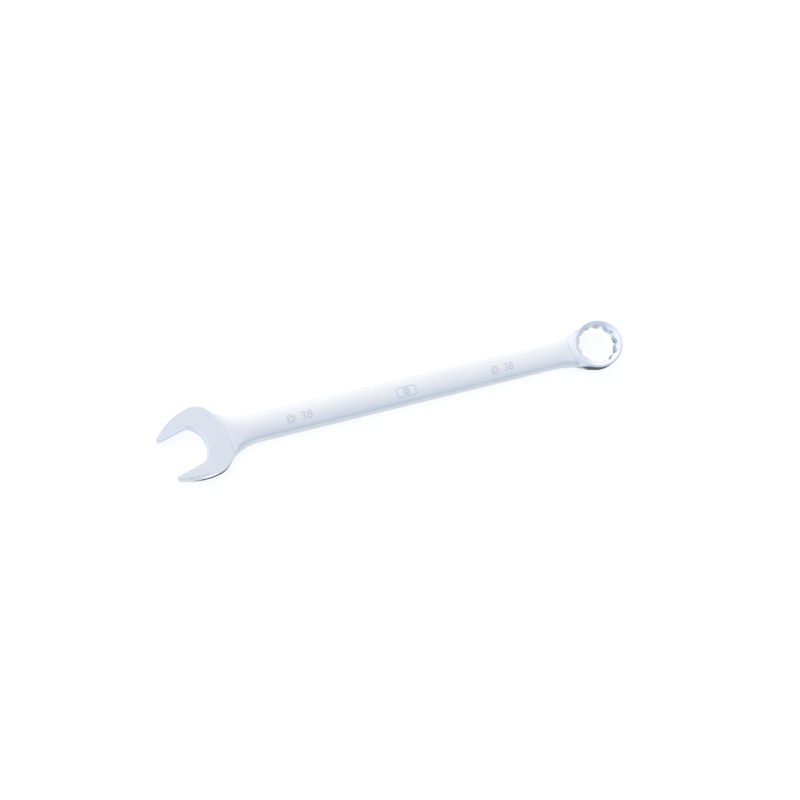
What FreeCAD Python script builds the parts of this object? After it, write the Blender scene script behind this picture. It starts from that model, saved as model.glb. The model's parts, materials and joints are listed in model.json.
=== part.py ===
import FreeCAD, Part
import math
import os
import Sketcher
from FreeCAD import Placement, Rotation, Vector

# A combination wrench, drop forged in one piece: an open jaw head at one end, a parallel shank,
# and a closed twelve-point ring at the other end. Millimetres, +Z out of the front face,
# +X along the shank towards the ring. The three regions are separate bodies that meet face to face.
#
# While it is built, the origin is where the jaw's centre line crosses the shank's centre line,
# halfway through the shank. The last step moves the origin to the middle of the base.

SIZES = (
    ("nut_size", 38.1, "across flats of the nut, one and a half inch"),
    ("jaw_clearance", 0.2, "jaw opening over the nut size"),
    ("ring_clearance", 0.2, "ring across flats over the nut size"),
    ("crossing_to_ring", 432.0, "from the crossing of the centre lines to the ring's centre"),
    ("head_angle", 15.0, "degrees between the jaw's centre line and the shank"),
    ("head_rise", 1.8, "how far each face of the head stands above the shank's"),
    ("jaw_wall", 15.85, "from a jaw flat to the widest point of the head"),
    ("jaw_arc", 60.0, "radius of the outside of a jaw"),
    ("tip_reach", 41.6, "from the crossing forward to the jaw tips"),
    ("tip_radius", 1.2, "rounding of the jaw tips in plan"),
    ("throat_depth", 2.8, "from the crossing forward to the bottom of the throat"),
    ("throat_bulge", 5.15, "throat radius over half the jaw opening"),
    ("throat_corner", 6.0, "radius where a jaw flat runs into the throat"),
    ("head_corner", 19.5, "radius of the head's rear corners"),
    ("corner_setback", 3.6, "from the crossing forward to the centre of the rear corners"),
    ("head_back", 18.1, "from the crossing back to the rear edge of the head's face"),
    ("edge_bevel", 0.7, "small bevel round the head's faces"),
    ("jaw_bevel_length", 37.0, "length of the ground bevel along the outside of the lower jaw"),
    ("jaw_bevel_angle", 35.0, "degrees of the ground bevel from the head's face"),
    ("shank_width", 28.8, "across the shank"),
    ("shank_thickness", 12.0, "through the middle of the shank"),
    ("shank_edge", 5.2, "rounding of the shank's long edges"),
    ("upper_flare", 50.0, "radius of the neck on the side the head leans to"),
    ("lower_flare", 42.0, "radius of the neck on the other side"),
    ("neck_bite", 0.5, "how deep the end of a flare runs into the head's rear corner"),
    ("neck_margin", 3.0, "parallel length between a flare and the end of the shank"),
    ("ring_wall", 4.8, "from a corner of the twelve-point hole to the outside of the ring"),
    ("ring_height", 19.0, "between the ring's two faces"),
    ("ring_tilt", 15.0, "degrees that the ring leans back over the shank"),
    ("ring_rim", 1.6, "rounding of the ring's outer edges"),
    ("ring_bevel", 2.4, "width of the lead-in bevel outside the hole's corners"),
    ("ring_bevel_depth", 1.5, "depth of the lead-in bevel at the hole's corners"),
    ("ring_flare", 116.0, "radius of the neck in front of the ring"),
    ("ring_bite", 1.2, "how deep the end of that neck's flares runs into the ring"),
    ("hole_turn", 7.5, "degrees that the twelve points are turned from the shank's line"),
)

# Sizes that follow from the driving ones.
DERIVED = (
    ("head_thickness", "sizes.shank_thickness + 2 * sizes.head_rise"),
    ("face_bevel", "min(sizes.edge_bevel; 0.8 * sizes.head_rise)"),
    ("jaw_half", "(sizes.nut_size + sizes.jaw_clearance) / 2"),
    ("head_half", "derived.jaw_half + sizes.jaw_wall"),
    ("corner_v", "derived.head_half - sizes.head_corner"),
    ("back_reach", "sizes.head_back + sizes.corner_setback"),
    ("back_arc", "(derived.back_reach^2 + derived.corner_v^2 - sizes.head_corner^2)"
                 " / (2 * (derived.back_reach - sizes.head_corner))"),
    ("throat_arc", "derived.jaw_half + sizes.throat_bulge"),
    ("cos_head", "cos(sizes.head_angle * 1 deg)"),
    ("sin_head", "sin(sizes.head_angle * 1 deg)"),
    ("upper_x", "-sizes.corner_setback * derived.cos_head - derived.corner_v * derived.sin_head"),
    ("upper_y", "-sizes.corner_setback * derived.sin_head + derived.corner_v * derived.cos_head"),
    ("lower_x", "-sizes.corner_setback * derived.cos_head + derived.corner_v * derived.sin_head"),
    ("lower_y", "-sizes.corner_setback * derived.sin_head - derived.corner_v * derived.cos_head"),
    ("shank_half", "sizes.shank_width / 2"),
    ("upper_start", "derived.upper_x + sqrt((sizes.upper_flare + sizes.head_corner - sizes.neck_bite)^2"
                    " - (derived.shank_half + sizes.upper_flare - derived.upper_y)^2)"),
    ("lower_start", "derived.lower_x + sqrt((sizes.lower_flare + sizes.head_corner - sizes.neck_bite)^2"
                    " - (derived.shank_half + sizes.lower_flare + derived.lower_y)^2)"),
    ("shank_from", "max(derived.upper_start; derived.lower_start) + sizes.neck_margin"),
    ("hole_corner", "(sizes.nut_size + sizes.ring_clearance) / sqrt(3)"),
    ("ring_outer", "derived.hole_corner + sizes.ring_wall"),
    ("ring_rest", "(sizes.ring_height / 2) * cos(sizes.ring_tilt * 1 deg)"
                  " + (derived.ring_outer - sizes.ring_rim) * sin(sizes.ring_tilt * 1 deg)"
                  " - sizes.ring_rim * cos(sizes.ring_tilt * 1 deg) + sizes.ring_rim"),
    ("ring_rise", "derived.ring_rest - derived.head_thickness / 2"),
    ("ring_axis_x", "sizes.crossing_to_ring + derived.ring_rise * tan(sizes.ring_tilt * 1 deg)"),
    ("ring_flare_run", "sqrt((sizes.ring_flare + derived.ring_outer - sizes.ring_bite)^2"
                       " - (sizes.ring_flare + derived.shank_half)^2)"),
    ("ring_flare_start", "derived.ring_axis_x - derived.ring_flare_run"),
    ("shank_to", "derived.ring_flare_start - sizes.neck_margin"),
)

CUT_PAST = 10.0     # how far a cut runs past the faces it opens
FACE = 0.01         # how near a point must lie to count as on a face
TWELFTH = 360 / 12  # degrees between two points of the ring's hole


def make_document():
    """The document, its sheet of driving sizes and the sizes that follow from them."""
    doc = FreeCAD.newDocument("combination_wrench")
    sizes = doc.addObject("Spreadsheet::Sheet", "sizes")
    for row, (alias, value, note) in enumerate(SIZES, start=1):
        sizes.set(f"A{row}", alias)
        sizes.set(f"B{row}", str(value))
        sizes.set(f"C{row}", note)
        sizes.setAlias(f"B{row}", alias)
    doc.recompute()
    derived = doc.addObject("App::VarSet", "derived")
    for name, _ in DERIVED:
        derived.addProperty("App::PropertyFloat", name)
    for name, expression in DERIVED:
        derived.setExpression(name, expression)
    doc.recompute()
    return doc


def new_body(doc, label):
    """An empty body with the label of the sub-part that it holds."""
    body = doc.addObject("PartDesign::Body", label)
    body.Label = label
    return body


def new_sketch(body, name, role, turn=None, lift="0"):
    """A sketch on one of the body's origin planes, lifted off it and turned in it by expressions."""
    sketch = body.newObject("Sketcher::SketchObject", name)
    plane = next(item for item in body.Origin.OriginFeatures if item.Role == role)
    sketch.AttachmentSupport = [(plane, "")]
    sketch.MapMode = "FlatFace"
    sketch.AttachmentOffset = Placement(Vector(), Rotation(Vector(0, 0, 1), 1))
    sketch.setExpression("AttachmentOffset.Rotation.Angle", turn or "0")
    sketch.setExpression("AttachmentOffset.Base.z", lift)
    return sketch


def bind(sketch, kind, *where):
    """Add a dimension to a sketch whose value is the expression given last."""
    *parts, expression = where
    value = float(sketch.evalExpression(expression))
    number = sketch.addConstraint(Sketcher.Constraint(kind, *parts, value))
    sketch.setExpression(f"Constraints[{number}]", expression)


def add_arc(sketch, centre, radius, start, end):
    """An arc from the direction of one point to that of another, counter-clockwise round its centre."""
    middle = Vector(*centre, 0)
    circle = Part.Circle(middle, Vector(0, 0, 1), radius)
    angles = [circle.parameter(Vector(*point, 0)) for point in (start, end)]
    return sketch.addGeometry(Part.ArcOfCircle(circle, *angles))


def add_line(sketch, start, end):
    """A straight edge between two points."""
    return sketch.addGeometry(Part.LineSegment(Vector(*start, 0), Vector(*end, 0)))


def join(sketch, kind, *pairs):
    """Join the end of each curve to the start of the next, meeting or tangent."""
    for one, two in pairs:
        sketch.addConstraint(Sketcher.Constraint(kind, one, 2, two, 1))


def pad(body, name, sketch, length):
    """Pad a sketch along its normal by an expression."""
    feature = body.newObject("PartDesign::Pad", name)
    feature.Profile = sketch
    feature.setExpression("Length", length)
    return feature


def edges_where(feature, test):
    """The names of a feature's edges that pass a test."""
    edges = enumerate(feature.Shape.Edges, start=1)
    return [f"Edge{number}" for number, edge in edges if test(edge)]


def dress(body, kind, name, feature, test, size, value):
    """Fillet or chamfer the edges of a feature that pass a test."""
    names = edges_where(feature, test)
    if not names:
        raise RuntimeError(f"{name}: no edge to dress")
    dressed = body.newObject(f"PartDesign::{kind}", name)
    dressed.Base = (feature, names)
    dressed.setExpression(size, value)
    return dressed


def middle_of(edge):
    """The point halfway along an edge."""
    return edge.valueAt((edge.FirstParameter + edge.LastParameter) / 2)


def is_upright(edge):
    """Whether an edge is a straight line along Z."""
    ends = [vertex.Point for vertex in edge.Vertexes]
    return len(ends) == 2 and ends[0].sub(ends[1]).cross(Vector(0, 0, 1)).Length < FACE


def in_jaw_frame(point, angle):
    """A point's place along the jaw's centre line and across it."""
    return Rotation(Vector(0, 0, 1), -angle).multVec(point)


def long_edges(half_thickness, planes):
    """A test for the edges of the two faces that do not lie in a cross plane."""
    def test(edge):
        point = middle_of(edge)
        across = any(abs(point.x - plane) < FACE for plane in planes)
        return abs(abs(point.z) - half_thickness) < FACE and not across
    return test


def side_edges(half_thickness, half_width):
    """A test for the long edges of a neck: its flares and the straight sides at the shank's width."""
    def test(edge):
        point = middle_of(edge)
        curved = isinstance(edge.Curve, Part.Circle)
        straight = abs(abs(point.y) - half_width) < FACE
        return abs(abs(point.z) - half_thickness) < FACE and (curved or straight)
    return test


def make_shank(doc):
    """The parallel bar between the two necks, with rounded long edges."""
    size, derived = doc.sizes, doc.derived
    body = new_body(doc, "shank")
    sketch = new_sketch(body, "shank_outline", "XY_Plane", lift="-sizes.shank_thickness / 2")
    near, far, half = derived.shank_from, derived.shank_to, derived.shank_half
    corners = [(near, -half), (far, -half), (far, half), (near, half)]
    lines = [add_line(sketch, corners[k], corners[(k + 1) % 4]) for k in range(4)]
    join(sketch, "Coincident", *[(lines[k], lines[(k + 1) % 4]) for k in range(4)])
    for k in range(4):
        sketch.addConstraint(Sketcher.Constraint(("Horizontal", "Vertical")[k % 2], lines[k]))
    bind(sketch, "DistanceX", -1, 1, lines[0], 1, "derived.shank_from")
    bind(sketch, "DistanceX", -1, 1, lines[2], 1, "derived.shank_to")
    bind(sketch, "DistanceY", lines[0], 1, -1, 1, "derived.shank_half")
    bind(sketch, "DistanceY", -1, 1, lines[2], 1, "derived.shank_half")
    bar = pad(body, "shank_bar", sketch, "sizes.shank_thickness")
    doc.recompute()
    long = long_edges(size.shank_thickness / 2, (near, far))
    body.Tip = dress(body, "Fillet", "shank_edges", bar, long, "Radius", "sizes.shank_edge")
    return body


def make_head_neck(doc, body):
    """The neck behind the jaw head: two flares that meet the head's rear corners tangentially."""
    size, derived = doc.sizes, doc.derived
    sketch = new_sketch(body, "neck_outline", "XY_Plane", lift="-sizes.shank_thickness / 2")
    half, end = derived.shank_half, derived.shank_from
    upper = (derived.upper_start, half + size.upper_flare)
    lower = (derived.lower_start, -half - size.lower_flare)
    touch = []
    for centre, radius, corner in ((upper, size.upper_flare, (derived.upper_x, derived.upper_y)),
                                   (lower, size.lower_flare, (derived.lower_x, derived.lower_y))):
        share = radius / (radius + size.head_corner - size.neck_bite)
        touch.append(tuple(a + (b - a) * share for a, b in zip(centre, corner)))
    top_arc = add_arc(sketch, upper, size.upper_flare, touch[0], (upper[0], half))
    top_line = add_line(sketch, (upper[0], half), (end, half))
    end_line = add_line(sketch, (end, half), (end, -half))
    low_line = add_line(sketch, (end, -half), (lower[0], -half))
    low_arc = add_arc(sketch, lower, size.lower_flare, (lower[0], -half), touch[1])
    inner = [(derived.lower_x, derived.lower_y), (derived.upper_x, derived.upper_y)]
    low_spoke = add_line(sketch, touch[1], inner[0])
    back_line = add_line(sketch, inner[0], inner[1])
    top_spoke = add_line(sketch, inner[1], touch[0])
    join(sketch, "Tangent", (top_arc, top_line), (low_line, low_arc))
    join(sketch, "Coincident", (top_line, end_line), (end_line, low_line), (low_arc, low_spoke),
         (low_spoke, back_line), (back_line, top_spoke), (top_spoke, top_arc))
    sketch.addConstraint(Sketcher.Constraint("Vertical", end_line))
    sketch.addConstraint(Sketcher.Constraint("Horizontal", top_line))
    sketch.addConstraint(Sketcher.Constraint("Horizontal", low_line))
    bind(sketch, "Radius", top_arc, "sizes.upper_flare")
    bind(sketch, "Radius", low_arc, "sizes.lower_flare")
    bind(sketch, "DistanceX", -1, 1, end_line, 1, "derived.shank_from")
    bind(sketch, "DistanceY", -1, 1, end_line, 1, "derived.shank_half")
    bind(sketch, "DistanceY", end_line, 2, -1, 1, "derived.shank_half")
    bind(sketch, "DistanceX", -1, 1, top_arc, 3, "derived.upper_start")
    bind(sketch, "DistanceX", -1, 1, low_arc, 3, "derived.lower_start")
    bind(sketch, "DistanceX", back_line, 2, -1, 1, "-derived.upper_x")
    bind(sketch, "DistanceY", -1, 1, back_line, 2, "derived.upper_y")
    bind(sketch, "DistanceX", -1, 1, back_line, 1, "derived.lower_x")
    bind(sketch, "DistanceY", back_line, 1, -1, 1, "-derived.lower_y")
    for spoke, flare in ((low_spoke, low_arc), (top_spoke, top_arc)):
        sketch.addConstraint(Sketcher.Constraint("PointOnObject", flare, 3, spoke))
    neck = pad(body, "neck_bar", sketch, "sizes.shank_thickness")
    doc.recompute()
    return dress(body, "Fillet", "neck_edges", neck, side_edges(size.shank_thickness / 2, half),
                 "Radius", "sizes.shank_edge")


def make_head_blank(doc, body):
    """The jaw head before the opening is cut: two jaw arcs, two rear corners and the rear edge."""
    size, derived = doc.sizes, doc.derived
    sketch = new_sketch(body, "head_outline", "XY_Plane", "sizes.head_angle", "-derived.head_thickness / 2")
    setback, half, back = -size.corner_setback, derived.head_half, derived.back_arc
    back_centre = (size.head_back - back, 0.0)
    rise = derived.corner_v / (back - size.head_corner)
    meet = (back_centre[0] + back * (1 - rise ** 2) ** 0.5, back * rise)
    jaw_v = half - size.jaw_arc
    tip_v = jaw_v + (size.jaw_arc ** 2 - (size.tip_reach + setback) ** 2) ** 0.5
    tip = (-size.tip_reach, tip_v)
    low_jaw = add_arc(sketch, (setback, -jaw_v), size.jaw_arc, (tip[0], -tip_v), (setback, -half))
    low_corner = add_arc(sketch, (setback, -derived.corner_v), size.head_corner,
                         (setback, -half), (meet[0], -meet[1]))
    rear = add_arc(sketch, back_centre, back, (meet[0], -meet[1]), meet)
    top_corner = add_arc(sketch, (setback, derived.corner_v), size.head_corner, meet, (setback, half))
    top_jaw = add_arc(sketch, (setback, jaw_v), size.jaw_arc, (setback, half), tip)
    front = add_line(sketch, tip, (tip[0], -tip_v))
    join(sketch, "Tangent", (low_jaw, low_corner), (low_corner, rear), (rear, top_corner),
         (top_corner, top_jaw))
    join(sketch, "Coincident", (top_jaw, front), (front, low_jaw))
    sketch.addConstraint(Sketcher.Constraint("Vertical", front))
    bind(sketch, "DistanceX", front, 1, -1, 1, "sizes.tip_reach")
    for arc in (low_jaw, top_jaw):
        bind(sketch, "Radius", arc, "sizes.jaw_arc")
        bind(sketch, "DistanceX", arc, 3, -1, 1, "sizes.corner_setback")
    for arc in (low_corner, top_corner):
        bind(sketch, "Radius", arc, "sizes.head_corner")
        bind(sketch, "DistanceX", arc, 3, -1, 1, "sizes.corner_setback")
    bind(sketch, "DistanceY", -1, 1, top_corner, 3, "derived.corner_v")
    bind(sketch, "DistanceY", low_corner, 3, -1, 1, "derived.corner_v")
    bind(sketch, "Radius", rear, "derived.back_arc")
    return pad(body, "head_blank", sketch, "derived.head_thickness")


def cut_jaw_opening(doc, body):
    """The slot between two parallel flats, ending in the round throat."""
    size, derived = doc.sizes, doc.derived
    sketch = new_sketch(body, "opening_outline", "XY_Plane", "sizes.head_angle",
                        "-derived.head_thickness / 2")
    flat, radius = derived.jaw_half, derived.throat_arc
    centre = -size.throat_depth - radius
    meet = centre + (radius ** 2 - flat ** 2) ** 0.5
    mouth = -size.tip_reach - CUT_PAST
    throat = add_arc(sketch, (centre, 0.0), radius, (meet, -flat), (meet, flat))
    top = add_line(sketch, (meet, flat), (mouth, flat))
    front = add_line(sketch, (mouth, flat), (mouth, -flat))
    low = add_line(sketch, (mouth, -flat), (meet, -flat))
    join(sketch, "Coincident", (throat, top), (top, front), (front, low), (low, throat))
    sketch.addConstraint(Sketcher.Constraint("Horizontal", top))
    sketch.addConstraint(Sketcher.Constraint("Horizontal", low))
    sketch.addConstraint(Sketcher.Constraint("Vertical", front))
    sketch.addConstraint(Sketcher.Constraint("PointOnObject", throat, 3, -1))
    bind(sketch, "Radius", throat, "derived.throat_arc")
    bind(sketch, "DistanceX", throat, 3, -1, 1, "sizes.throat_depth + derived.throat_arc")
    bind(sketch, "DistanceX", front, 1, -1, 1, f"sizes.tip_reach + {CUT_PAST}")
    bind(sketch, "DistanceY", -1, 1, top, 1, "derived.jaw_half")
    bind(sketch, "DistanceY", low, 1, -1, 1, "derived.jaw_half")
    slot = body.newObject("PartDesign::Pocket", "jaw_opening")
    slot.Profile = sketch
    slot.Reversed = True
    slot.setExpression("Length", "derived.head_thickness")
    return slot


def grind_jaw_bevels(doc, body):
    """A flat bevel along the outer edge of the lower jaw, front and back, that runs out at both ends."""
    size, derived = doc.sizes, doc.derived
    half_turn = math.asin(size.jaw_bevel_length / 2 / size.jaw_arc)
    head_turn = Rotation(Vector(0, 0, 1), size.head_angle)
    slope = math.radians(size.jaw_bevel_angle)
    centre = Vector(-size.corner_setback, size.jaw_arc - derived.head_half, 0)
    outward = Vector(-math.sin(half_turn), -math.cos(half_turn), 0)
    chord = centre + outward * size.jaw_arc * math.cos(half_turn)
    for face in (1, -1):
        normal = Vector(0, 0, face)
        along = outward.cross(normal)
        down = outward * math.cos(slope) - normal * math.sin(slope)
        box = body.newObject("PartDesign::SubtractiveBox", "jaw_bevel")
        for side in ("Length", "Width", "Height"):
            box.setExpression(side, "sizes.jaw_bevel_length * 2")
        start = chord + normal * derived.head_thickness / 2 - along * size.jaw_bevel_length
        turn = Rotation(along, down, along.cross(down), "ZXY")
        box.Placement = Placement(Vector(), head_turn).multiply(Placement(start, turn))
    return box


def finish_head(doc, body, slot):
    """Round the jaw tips and the throat's corners, and bevel the edges of both faces."""
    size, derived = doc.sizes, doc.derived
    doc.recompute()
    angle, flat = size.head_angle, derived.jaw_half

    def throat_corner(edge):
        place = in_jaw_frame(middle_of(edge), angle)
        return is_upright(edge) and abs(abs(place.y) - flat) < FACE and place.x > -size.tip_reach + FACE

    def jaw_tip(edge):
        place = in_jaw_frame(middle_of(edge), angle)
        return is_upright(edge) and abs(place.x + size.tip_reach) < FACE

    throat = dress(body, "Fillet", "throat_corners", slot, throat_corner, "Radius", "sizes.throat_corner")
    doc.recompute()
    tips = dress(body, "Fillet", "jaw_tips", throat, jaw_tip, "Radius", "sizes.tip_radius")
    doc.recompute()
    face = derived.head_thickness / 2

    def face_edge(edge):
        return all(abs(abs(vertex.Z) - face) < FACE for vertex in edge.Vertexes)

    return dress(body, "Chamfer", "face_edges", tips, face_edge, "Size", "derived.face_bevel")


def make_open_end(doc):
    """The jaw head with the neck behind it."""
    body = new_body(doc, "open_end")
    make_head_neck(doc, body)
    make_head_blank(doc, body)
    slot = cut_jaw_opening(doc, body)
    finish_head(doc, body, slot)
    body.Tip = grind_jaw_bevels(doc, body)
    return body


def make_ring_neck(doc, body):
    """The neck in front of the ring: two long flares that run into the ring's wall."""
    size, derived = doc.sizes, doc.derived
    sketch = new_sketch(body, "ring_neck_outline", "XY_Plane", lift="-sizes.shank_thickness / 2")
    half, start, flare = derived.shank_half, derived.ring_flare_start, size.ring_flare
    near, centre = derived.shank_to, derived.ring_axis_x
    share = flare / (flare + derived.ring_outer - size.ring_bite)
    touch = (start + (centre - start) * share, (half + flare) * (1 - share))
    top_arc = add_arc(sketch, (start, half + flare), flare, (start, half), touch)
    top_spoke = add_line(sketch, touch, (centre, 0.0))
    low_spoke = add_line(sketch, (centre, 0.0), (touch[0], -touch[1]))
    low_arc = add_arc(sketch, (start, -half - flare), flare, (touch[0], -touch[1]), (start, -half))
    low_line = add_line(sketch, (start, -half), (near, -half))
    end_line = add_line(sketch, (near, -half), (near, half))
    top_line = add_line(sketch, (near, half), (start, half))
    join(sketch, "Tangent", (low_arc, low_line), (top_line, top_arc))
    join(sketch, "Coincident", (top_arc, top_spoke), (top_spoke, low_spoke), (low_spoke, low_arc),
         (low_line, end_line), (end_line, top_line))
    sketch.addConstraint(Sketcher.Constraint("Vertical", end_line))
    sketch.addConstraint(Sketcher.Constraint("Horizontal", top_line))
    sketch.addConstraint(Sketcher.Constraint("Horizontal", low_line))
    sketch.addConstraint(Sketcher.Constraint("PointOnObject", top_spoke, 2, -1))
    for arc, spoke in ((top_arc, top_spoke), (low_arc, low_spoke)):
        bind(sketch, "Radius", arc, "sizes.ring_flare")
        bind(sketch, "DistanceX", -1, 1, arc, 3, "derived.ring_flare_start")
        sketch.addConstraint(Sketcher.Constraint("PointOnObject", arc, 3, spoke))
    bind(sketch, "DistanceX", -1, 1, top_spoke, 2, "derived.ring_axis_x")
    bind(sketch, "DistanceX", -1, 1, end_line, 1, "derived.shank_to")
    bind(sketch, "DistanceY", end_line, 1, -1, 1, "derived.shank_half")
    bind(sketch, "DistanceY", -1, 1, end_line, 2, "derived.shank_half")
    neck = pad(body, "ring_neck_bar", sketch, "sizes.shank_thickness")
    doc.recompute()
    return dress(body, "Fillet", "ring_neck_edges", neck, side_edges(size.shank_thickness / 2, half),
                 "Radius", "sizes.shank_edge")


def make_ring_plane(body):
    """The ring's middle plane: raised above the shank and leaning back over it."""
    plane = body.newObject("PartDesign::Plane", "ring_plane")
    flat = next(item for item in body.Origin.OriginFeatures if item.Role == "XY_Plane")
    plane.AttachmentSupport = [(flat, "")]
    plane.MapMode = "FlatFace"
    plane.AttachmentOffset = Placement(Vector(), Rotation(Vector(0, 1, 0), -1))
    plane.setExpression("AttachmentOffset.Base.x", "sizes.crossing_to_ring")
    plane.setExpression("AttachmentOffset.Base.z", "derived.ring_rise")
    plane.setExpression("AttachmentOffset.Rotation.Angle", "-sizes.ring_tilt")
    return plane


def on_ring_plane(body, kind, name, plane, lift, turn="0", flip=False):
    """A primitive on the ring's plane, moved along the ring's axis and turned about it."""
    feature = body.newObject(f"PartDesign::{kind}", name)
    feature.AttachmentSupport = [(plane, "")]
    feature.MapMode = "FlatFace"
    axis = Vector(1, 0, 0) if flip else Vector(0, 0, 1)
    feature.AttachmentOffset = Placement(Vector(), Rotation(axis, 1))
    feature.setExpression("AttachmentOffset.Rotation.Angle", "180" if flip else turn)
    feature.setExpression("AttachmentOffset.Base.z", lift)
    return feature


def make_ring(doc, body):
    """A round disc with rounded outer edges, turned about the ring's axis."""
    size, derived = doc.sizes, doc.derived
    sketch = body.newObject("Sketcher::SketchObject", "ring_section")
    flat = next(item for item in body.Origin.OriginFeatures if item.Role == "XZ_Plane")
    sketch.AttachmentSupport = [(flat, "")]
    sketch.MapMode = "FlatFace"
    sketch.AttachmentOffset = Placement(Vector(), Rotation(Vector(0, 0, 1), 1))
    sketch.setExpression("AttachmentOffset.Rotation.Angle", "sizes.ring_tilt")
    sketch.setExpression("AttachmentOffset.Base.x", "sizes.crossing_to_ring")
    sketch.setExpression("AttachmentOffset.Base.y", "derived.ring_rise")
    far, half, rim = derived.ring_outer, size.ring_height / 2, size.ring_rim
    inner = far - rim
    axis_line = add_line(sketch, (0, half), (0, -half))
    low_line = add_line(sketch, (0, -half), (inner, -half))
    low_arc = add_arc(sketch, (inner, -half + rim), rim, (inner, -half), (far, -half + rim))
    wall = add_line(sketch, (far, -half + rim), (far, half - rim))
    top_arc = add_arc(sketch, (inner, half - rim), rim, (far, half - rim), (inner, half))
    top_line = add_line(sketch, (inner, half), (0, half))
    join(sketch, "Tangent", (low_line, low_arc), (low_arc, wall), (wall, top_arc), (top_arc, top_line))
    join(sketch, "Coincident", (axis_line, low_line), (top_line, axis_line))
    sketch.addConstraint(Sketcher.Constraint("PointOnObject", axis_line, 1, -2))
    sketch.addConstraint(Sketcher.Constraint("Vertical", axis_line))
    sketch.addConstraint(Sketcher.Constraint("Vertical", wall))
    sketch.addConstraint(Sketcher.Constraint("Horizontal", low_line))
    sketch.addConstraint(Sketcher.Constraint("Horizontal", top_line))
    bind(sketch, "DistanceY", -1, 1, top_line, 2, "sizes.ring_height / 2")
    bind(sketch, "DistanceY", low_line, 1, -1, 1, "sizes.ring_height / 2")
    bind(sketch, "DistanceX", -1, 1, wall, 1, "derived.ring_outer")
    bind(sketch, "Radius", low_arc, "sizes.ring_rim")
    bind(sketch, "Radius", top_arc, "sizes.ring_rim")
    ring = body.newObject("PartDesign::Revolution", "ring")
    ring.Profile = sketch
    ring.ReferenceAxis = (sketch, ["V_Axis"])
    ring.Angle = 360.0
    return ring


def trim_under_ring(body, plane):
    """Take away the neck where it would hang below the ring's lower edge."""
    trim = on_ring_plane(body, "SubtractiveBox", "under_ring", plane,
                         "-sizes.ring_height / 2 + sizes.ring_rim", flip=True)
    for side in ("Length", "Width", "Height"):
        trim.setExpression(side, "derived.ring_outer * 2")
    trim.setExpression("AttachmentOffset.Base.x", "-derived.ring_outer")
    trim.setExpression("AttachmentOffset.Base.y", "derived.ring_outer")
    return trim


def cut_twelve_points(body, plane):
    """Two hexagons a twelfth of a turn apart, and a conical lead-in from each face."""
    for turn in ("-sizes.hole_turn", f"{TWELFTH} - sizes.hole_turn"):
        hexagon = on_ring_plane(body, "SubtractivePrism", "hexagon_hole", plane,
                                "-sizes.ring_height", turn)
        hexagon.Polygon = 6
        hexagon.setExpression("Circumradius", "derived.hole_corner")
        hexagon.setExpression("Height", "sizes.ring_height * 2")
    for lift, flip in (("-sizes.ring_height / 2", False), ("sizes.ring_height / 2", True)):
        lead = on_ring_plane(body, "SubtractiveCone", "hole_lead_in", plane, lift, flip=flip)
        lead.setExpression("Radius1", "derived.hole_corner + sizes.ring_bevel")
        lead.Radius2 = 0
        lead.setExpression("Height", "sizes.ring_bevel_depth"
                                     " * (derived.hole_corner + sizes.ring_bevel) / sizes.ring_bevel")
    return lead


def make_box_end(doc):
    """The twelve-point ring with the neck in front of it."""
    body = new_body(doc, "box_end")
    make_ring_neck(doc, body)
    plane = make_ring_plane(body)
    trim_under_ring(body, plane)
    make_ring(doc, body)
    body.Tip = cut_twelve_points(body, plane)
    return body


def check_document(doc, bodies):
    """Stop if any object failed, or if a sub-part is empty, broken or in more than one piece."""
    for item in doc.Objects:
        if "Invalid" in item.State or "Error" in item.State:
            raise RuntimeError(f"{item.Name}: {item.State}")
    for body in bodies:
        shape = body.Shape
        if shape.isNull() or not shape.isValid() or len(shape.Solids) != 1:
            raise RuntimeError(f"{body.Label}: not one valid solid")


def settle_origin(doc, bodies):
    """Move every sub-part so that the origin is the middle of the wrench's base."""
    whole = Part.makeCompound([body.Shape for body in bodies]).optimalBoundingBox(False)
    base = Vector(whole.Center.x, whole.Center.y, whole.ZMin)
    for body in bodies:
        body.Placement = Placement(-base, Rotation())
    doc.recompute()
    return base


def main():
    """Build the wrench, check it and write each sub-part's file."""
    doc = make_document()
    bodies = [make_open_end(doc), make_shank(doc), make_box_end(doc)]
    doc.recompute()
    check_document(doc, bodies)
    base = settle_origin(doc, bodies)
    check_document(doc, bodies)
    os.makedirs("parts", exist_ok=True)
    for body in bodies:
        body.Shape.exportStep(f"parts/{body.Label}.step")
        print(body.Label, round(body.Shape.Volume, 1))
    print("crossing of the centre lines", tuple(round(-value, 3) for value in base))


main()
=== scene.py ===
"""A chrome-plated combination wrench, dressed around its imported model.

The forging is one smooth skin in three lengths that meet in the parallel bar: the jaw head with its
neck, the bar, and the twelve-point ring with its neck. Lengths are in millimetres until a mesh is made.
"""

import functools
import json
import logging
import math
from dataclasses import dataclass, field
from enum import Enum
from typing import Callable, Iterable, Sequence

import bmesh
import bpy
import numpy as np
from mathutils import Matrix, Vector

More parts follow.
